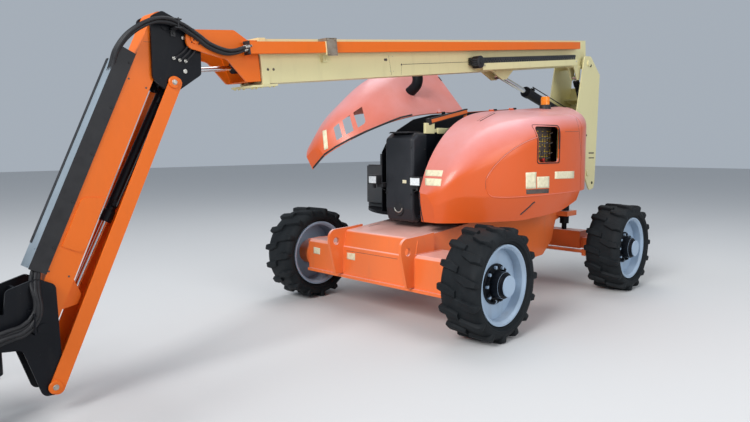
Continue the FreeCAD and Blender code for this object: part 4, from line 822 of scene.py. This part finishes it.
def vented_hood():
    """Copy of the engine hood with the three vents that the photo shows."""
    mesh = nodes["engine_hood"].data.copy()
    mesh.name = "engine_hood_vented"
    hood = add("engine_hood_vented", mesh)
    for outline in (((333.6, 127.5), (338.8, 123.2), (342.4, 136.8), (336.6, 140.4)),
            ((342.4, 120.4), (349.6, 115.2), (353.6, 130.6), (346.2, 134.6)),
            ((353.2, 112.6), (361.9, 106.6), (365.4, 121), (364.2, 123.8), (358, 127.6))):
        centre = [sum(row) / len(outline) for row in zip(*outline)]
        far = (seen(*centre, "engine_hood")[0] - Vector(EYE)).length
        cutter = prism(outline, far - .12, far + .14)
        cut = hood.modifiers.new("vent", "BOOLEAN")
        cut.object = cutter
        cut.operation = "DIFFERENCE"
        cut.solver = "EXACT"
        graph = bpy.context.evaluated_depsgraph_get()
        done = bpy.data.meshes.new_from_object(hood.evaluated_get(graph))
        hood.modifiers.clear()
        hood.data = done
        bpy.data.objects.remove(cutter)
    hood.data.materials.clear()
    hood.data.materials.append(PAINTS["hood_orange"])
    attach(hood, "engine_hood")
    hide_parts("engine_hood")


vented_hood()
trace("engine_hood_seal", ((313.3, 167.6), (318.5, 161.5), (324.7, 154.2), (336, 146.6), (349.4, 139.3),
    (365, 131.8), (380.4, 125.4), (391, 121), (401, 117.3), (412, 114.8)), "engine_hood", "black_rubber",
    .022, .006)
trace("engine_hood_edge", ((438.5, 77), (444.5, 84.5), (450.5, 92.5), (456.5, 100.6), (461.8, 108)),
    "engine_hood", "black_rubber", .02, .004)
label("plate_engine_hood", ((322.4, 131), (326.4, 129.6), (328.2, 148.4), (324.2, 150.2)), "engine_hood")
trace("tank_hood_seal", ((447.2, 126.6), (440.6, 134.2), (434.6, 143.6), (428.8, 155.4), (424, 167),
    (420.4, 179.6), (419.4, 190), (419.9, 203), (421.6, 214.5), (423.2, 221.6)), "tank_hood",
    "black_rubber", .014, .004)

# Ground controls behind the window

boxes("control_panel", (((-.02, .755, 1.385), (.375, .925, 1.69)),
    ((-.03, .92, 1.378), (.382, .929, 1.698))), "turntable", "label_dark", bevel=.004)
marks, levers = Shape(), Shape()
for row in range(6):
    for column in range(8):
        if (row * 3 + column * 5) % 7 in (0, 4):
            continue
        x, z = .005 + column * .045, 1.415 + row * .046
        marks.block((x - .013, .9288, z + .014), (x + .013, .9302, z + .02))
        marks.block((x - .004, .9288, z - .02), (x + .004, .9302, z - .01))
        if (row + column) % 2:
            levers.bar((x, .929, z), (x, .936, z), .008, 12, .001)
            levers.turned((x, .936, z), (x, .96, z + .008), ((0, .0032), (.7, .0045), (1, .003)), 10)
piece("control_marks", marks, "turntable", "yellow_plastic")
piece("control_levers", levers, "turntable", "zinc_steel", smooth=40)
knob("control_stop", (.16, .929, 1.4), (.16, .965, 1.4), ((0, .01), (.5, .01), (.52, .019), (.9, .019),
    (1, .014)), 20, "turntable", "red_plastic", smooth=40)

# Between the hoods: brackets on the frame's top and the painted rail that they carry

boxes("rail_brackets", (
    ((.77, .15, 1.645), (.9, .178, 1.742)), ((.5, .15, 1.645), (.722, .178, 1.7)),
    ((.72, .158, 1.645), (.772, .17, 1.69))), "turntable", "boom_cream", bevel=.004)
boxes("hood_rail", (((-.01, .15, -.018), (.59, .18, .016)), ((0, .152, -.215), (.03, .176, 0))),
    "turntable", "chassis_orange", RAIL.turn, bevel=.004)
boxes("hood_rail_trim", (
    ((-.012, .148, .016), (.592, .183, .026)), ((.01, .149, -.027), (.58, .182, -.018)),
    ((.56, .147, -.03), (.6, .184, .03))), "turntable", "black_rubber", RAIL.turn, bevel=.002)

# Boom: painted shade in holes and slot, joint lines, lower pad, push tube's guide, cable carrier, upright's
# pins and plates

def discs(name, rows, node, paint, height=.0012):
    """Round marks or bolt heads where the photo shows them: rows are pixel x, pixel y and radius."""
    shape = Shape()
    for px, py, radius in rows:
        place, out = seen(px, py, node)
        shape.bar(place - out * .001, place + out * height, radius, 16, min(.0006, height / 3))
    piece(name, shape, BODY[node], paint, smooth=30)


# Dark discs in the holes are painted shade; the first disc is a dark bolt head.
discs("boom_hole_shade", ((401.5, 64.6, .009), (267.9, 69.5, .01), (273.6, 69.4, .01), (386.2, 59.7, .012),
    (384.8, 59.7, .011)), "main_boom", "label_dark")
discs("boom_rivets", ((389, 56.4, .004), (392.4, 56.4, .004), (390.4, 71.2, .004), (393.6, 71.1, .004),
    (320.4, 42.6, .007), (322.2, 42.5, .006), (381, 42, .006)), "main_boom", "zinc_steel", .002)
# Dark strip in the slot: painted shade.
trace("boom_slot_shade", ((402.5, 64.4), (420, 63.7), (445, 62.8), (467.7, 62)), "main_boom", "label_dark", .006,
    .001)
trace("boom_joint", ((388.3, 55.4), (389.6, 62), (391.5, 75)), "main_boom", "label_dark", .0026, .0008)
trace("boom_joint_rear", ((401.6, 66), (401.2, 75)), "main_boom", "label_dark", .002, .0008)
boxes("boom_lower_pad", (((4.83, -.128, -.044), (5.05, .14, -.03)),), "main_boom", "boom_cream", MAIN.turn,
    ([MAIN.at(u, y, -.044) for u in (4.85, 4.885, 4.96, 5, 5.035) for y in (-.105, .118)], -MAIN.over, .008,
    .006), bevel=.002)
boxes("push_tube_guide", (
    ((4.298, .2262, .152), (4.402, .23, .284)), ((4.398, .134, .262), (4.4025, .23, .284)),
    ((4.298, .134, .2742), (4.402, .23, .279))), "main_boom", "guide_steel", MAIN.turn,
    ([MAIN.at(u, .23, n) for u in (4.315, 4.385) for n in (.166, .27)], (0, 1, 0), .007, .005), bevel=.0015)
boxes("push_tube_guide_foot", (((4.345, .134, .112), (4.395, .165, .162)),), "main_boom", "boom_cream",
    MAIN.turn, ([MAIN.at(4.37, .165, .128)], (0, 1, 0), .008, .006), bevel=.003)
links = Shape()
for k in range(44):
    u = .395 + k * .0455
    links.block((u, .2175, .024), (u + .037, .2198, .104), MAIN.turn)
    links.bar(MAIN.at(u + .041, .216, .086), MAIN.at(u + .041, .2225, .086), .0055, 10)
piece("cable_links", links, "main_boom", "black_plastic")
roller = Shape()
roller.turned(MAIN.at(2.395, .146, .066), MAIN.at(2.395, .234, .066), ((0, .04), (.06, .06), (.94, .06),
    (1, .052)), 32)
roller.turned(MAIN.at(2.395, .234, .066), MAIN.at(2.395, .24, .066), ((0, .024), (.8, .024), (1, .02)), 20)
piece("cable_roller", roller, "main_boom", "black_rubber", smooth=40)
loops = []
for k in range(4):
    n = .03 + .018 * k
    loops.append([MAIN.at(2.36, .196 + .004 * k, n), MAIN.at(2.455, .214, n + .004),
        MAIN.at(2.478, .18, n + .012), MAIN.at(2.47, .142, n + .02), MAIN.at(2.44, .128, n + .024)])
hoses("carrier_hoses", loops, .0075, ("main_boom",))
ends = Shape()
for k in range(4):
    n = .054 + .018 * k
    ends.bar(MAIN.at(2.452, .1335, n), MAIN.at(2.452, .148, n), .01, 12, .001)
ends.bolt(MAIN.at(2.33, .2262, .03), (0, 1, 0), .007, .005)
ends.bolt(MAIN.at(.385, .2262, .03), (0, 1, 0), .007, .005)
piece("carrier_fittings", ends, "main_boom", "zinc_steel", smooth=35)
boxes("boom_rear_cap", (((-.0655, -.13, -.018), (-.0595, .13, .279)),), "main_boom", "frame_black",
    MAIN.turn, ([MAIN.at(-.0655, y, n) for y in (-.11, .11) for n in (0, .26)], -MAIN.ahead, .007, .005),
    bevel=.002)
discs("upright_pins", ((590.6, 65.5, .02), (586.3, 135.3, .012), (591.6, 182.7, .018)), "upright",
    "frame_black", .005)
label("upright_plate_high", ((588.6, 152.4), (593.8, 152.3), (593.8, 153.6), (588.6, 153.7)), "upright",
    "label_dark", 2)
label("upright_plate_low", ((588.6, 157.4), (593.8, 157.3), (593.8, 158.3), (588.6, 158.4)), "upright",
    "label_dark", 2)

# Cylinders: glands, ports and pipes

def dress(name, foot, eye, y, length, radius, over):
    """Gland, ports and pressure pipe of one cylinder, on its barrel."""
    foot, eye = Vector((foot[0], y, foot[1])), Vector((eye[0], y, eye[1]))
    ahead = (eye - foot).normalized()
    over = Vector(over)
    over = (over - ahead * over.dot(ahead)).normalized()
    gland = Shape()
    end = foot + ahead * length
    gland.turned(end - ahead * .075, end - ahead * .0005, ((0, radius + .0015), (.05, radius + .006),
        (.9, radius + .006), (1, radius)), 32)
    other = ahead.cross(over)
    screw = end - ahead * .03
    for spoke in circle(Vector(), over, other, 1, 6):
        gland.bar(screw + spoke * (radius + .003), screw + spoke * (radius + .0085), .0045, 8)
    low, high = foot + ahead * .13, end - ahead * .12
    for spot in (low, high):
        turn = Matrix((ahead, over.cross(ahead), over)).transposed().to_4x4()
        turn.translation = spot
        gland.block((-.02, -.018, radius - .006), (.02, .018, radius + .02), turn)
    piece(name + "_gland", gland, name + "_barrel", "frame_black", bevel=.0012)
    pipe = Shape()
    lift, aside = over * (radius + .02), other * .0054
    pipe.sweep((high + lift * .98 - aside, high + lift * 1.12 - aside,
        high - ahead * .04 + lift * 1.18 - aside, low + ahead * .09 + lift * 1.18 - aside,
        low + ahead * .05 + lift * 1.16 - aside, low + ahead * .015 + lift * .98 - aside), .006, 10)
    for spot in (high - aside, low + ahead * .015 - aside):
        pipe.turned(spot + lift * .95, spot + lift * 1.1, ((0, .01), (1, .01)), 6)
    piece(name + "_pipe", pipe, name + "_barrel", "zinc_steel" if name == "tower" else "black_rubber",
        smooth=40)


def flat(point):
    """The point in the side view."""
    return point.x, point.z


dress("lift", (-2.25, 1.865), flat(MAIN.at(1.74, 0, -.074)), 0, 1.18, .055, (0, .35, 1))
dress("master", (-2.33, 2), flat(MAIN.at(.189, 0, -.16)), .11, .395, .032, (1, .4, 0))
dress("jib", (3.32, 1.94), flat(JIB.at(1.74, 0, -.125)), 0, .96, .03, (0, 1, 0))
dress("tower", (.64, 1.01), flat(TOWER.at(2.109, 0, -.235)), 0, .62, .055, (0, .9, -.4))

# Chassis: painted shade along a press line and in a slot, blank plates and weld beads

# Dark strip along the press line: painted shade of the crease.
trace("chassis_line_shade", ((346.6, 250.6), (360, 252.8), (378, 255.8), (397.6, 259.1)), "chassis_frame",
    "label_dark", .005, .001)
label("chassis_plate_far", ((313.7, 246.8), (320.2, 248.2), (320, 254.6), (313.6, 253.2)), "chassis_frame")
label("chassis_plate_middle", ((347, 252.4), (355.2, 253.6), (355, 260.4), (346.9, 259)), "chassis_frame")
# Dark strip in the slot: painted shade.
trace("chassis_slot_shade", ((368.8, 226.3), (374, 225), (380, 223.9)), "chassis_frame", "label_dark", .016, .001)
weld = Shape()
for side in (1, -1):
    for y in (.4285, .4555):
        weld.sweep([(1.3765, side * y, z) for z in (.35, .45, .55)] + [(1.36, side * y, .62),
            (1.335, side * y, .735)], .005, 8, 4)
    weld.sweep([(1.3765, side * .4575, .62), (1.2, side * .4575, .6195), (1.01, side * .4575, .6195)], .004,
        8, 4)
for y in (-.926, .926):
    weld.sweep([(1.3765, y, .332), (1.3765, y, .59), (1.35, y, .6175), (.99, y, .6175)], .003, 6, 3)
piece("chassis_welds", weld, "chassis", "chassis_orange", smooth=60)


# Jib: bosses and bolts at the link's ends, bracket bolts, painted shade in holes, and seams

boss, nuts = Shape(), Shape()
for x, z in ((3.32, 1.94), (4.12, .17)):
    for side in (1, -1):
        boss.turned((x, side * .1115, z), (x, side * .1245, z), ((0, .038), (.7, .038), (1, .035)), 32)
        nuts.bolt((x, side * .124, z), (0, side, 0), .0125, .009)
piece("jib_link_ends", boss, "jib_link", "boom_orange", bevel=.0008)
piece("jib_link_bolts", nuts, "jib_link", "zinc_steel", smooth=30)
discs("bracket_bolts", ((182.7, 38, .012), (185, 71.4, .014), (193.5, 34, .01)), "jib_bracket",
    "zinc_steel", .006)
# Dark discs in the holes: painted shade.
discs("jib_arm_hole_shade", ((128.8, 78.6, .006), (146.1, 87.9, .006), (48.8, 271.4, .006), (68.9, 276.4, .006)),
    "jib_arm", "label_dark")
trace("jib_arm_seam", ((143.5, 41.6), (150, 42), (157.5, 42.4)), "jib_arm", "label_dark", .003, .0008)
trace("hood_rear_seam", ((575.9, 118), (577.8, 124), (579.2, 131), (580.4, 145), (581.2, 160),
    (581.4, 172)), "tank_hood", "label_dark", .004, .001)

# Platform: tread plate, controls, pedal, manual box and gate catch

DECK, DECK_TOP = .3252, .3275
deck = Shape()
for i in range(11):
    for k in range(33):
        x, y = 4.905 + i * .072, -1.13 + k * .0705
        long, short = (.02, .006) if (i + k) % 2 else (.006, .02)
        deck.hull(((x - long, y, DECK), (x, y - short, DECK), (x + long, y, DECK), (x, y + short, DECK),
            (x, y, DECK_TOP)), ((0, 1, 4), (1, 2, 4), (2, 3, 4), (3, 0, 4), (3, 2, 1, 0)))
piece("tread_plate", deck, "platform", "platform_grey", smooth=20)
boots = Shape()
for y in (-.18, .12):
    profile = []
    for k in range(5):
        profile += [(k / 5, .034 - .0042 * k), ((k + .5) / 5, .03 - .0042 * k)]
    boots.turned((4.98, y, 1.404), (4.98, y, 1.438), profile + [(1, .0125)], 28)
    boots.turned((4.98, y, 1.448), (4.98, y, 1.4648), ((0, .012), (.3, .0165), (.8, .0165), (1, .011)), 24)
piece("stick_boots", boots, "platform", "black_rubber", smooth=35)
toggles = Shape()
for k in range(9):
    y = -.216 + k * .054
    toggles.bar((4.9, y, 1.4045), (4.9, y, 1.4095), .0085, 12, .001)
    toggles.turned((4.9, y, 1.4095), (4.906, y, 1.43), ((0, .0028), (.7, .0042), (1, .0028)), 10)
for y in (-.235, .235):
    for z in (1.215, 1.385):
        toggles.bolt((4.8605, y, z), (-1, 0, 0), .006, .004)
piece("platform_toggles", toggles, "platform", "zinc_steel", smooth=35)
boxes("console_plates", [((4.878, y0, 1.4046), (4.922, y1, 1.4056))
    for y0, y1 in ((-.235, -.105), (-.09, .05), (.065, .235))], "platform", "label_cream")
knob("platform_stop", (4.955, -.03, 1.4045), (4.955, -.03, 1.438), ((0, .012), (.5, .012), (.52, .02),
    (.88, .02), (1, .015)), 24, "platform", "red_plastic", smooth=40)
knob("platform_stop_ring", (4.955, -.03, 1.4042), (4.955, -.03, 1.4068), ((0, .026), (1, .025)), 28,
    "platform", "yellow_plastic")
pedal = Shape()
pedal.blocks((((5.15, -.075, .3245), (5.33, .075, .34)), ((5.15, -.075, .339), (5.168, .075, .435))))
for y0 in (-.075, .067):
    pedal.rings([[(x, y0, .339), (x, y0 + .008, .339), (x, y0 + .008, top), (x, y0, top)]
        for x, top in ((5.15, .455), (5.33, .365))])
piece("pedal_guard", pedal, "platform", "frame_black", bevel=.002)
tread = Shape()
tread.rings([[(x, -.055, z), (x, .055, z), (x, .055, z + .01), (x, -.055, z + .01)]
    for x, z in ((5.175, .352), (5.315, .375))])
for k in range(7):
    x = 5.19 + k * .0185
    tread.block((x, -.05, .36 + .003 * k), (x + .006, .05, .3665 + .003 * k))
tread.bar((5.18, -.07, .352), (5.18, .07, .352), .007, 12)
piece("pedal_tread", tread, "platform", "black_rubber", bevel=.001)
boxes("manual_box", (((4.826, .46, 1.09), (4.905, .76, 1.33)), ((4.822, .454, 1.325), (4.91, .766, 1.348))),
    "platform", "black_plastic", bevel=.006, segments=3)
straps = Shape()
for y in (.5, .7):
    straps.blocks((((4.818, y, 1.2), (4.8265, y + .024, 1.43)),
        ((4.794, y, 1.443), (4.8265, y + .024, 1.447)), ((4.8225, y, 1.42), (4.8265, y + .024, 1.447))))
    straps.bolt((4.818, y + .012, 1.24), (-1, 0, 0), .006, .004)
piece("manual_box_hooks", straps, "platform", "zinc_steel", bevel=.001)
catch = Shape()
catch.block((5.664, -.352, 1.06), (5.678, -.3, 1.11))
catch.bar((5.67, -.372, 1.085), (5.67, -.29, 1.085), .007, 14, .001)
catch.turned((5.67, -.315, 1.085), (5.642, -.315, 1.085), ((0, .006), (.5, .006), (.55, .01), (1, .008)),
    16)
piece("gate_catch", catch, "platform_gate", "zinc_steel", bevel=.001)
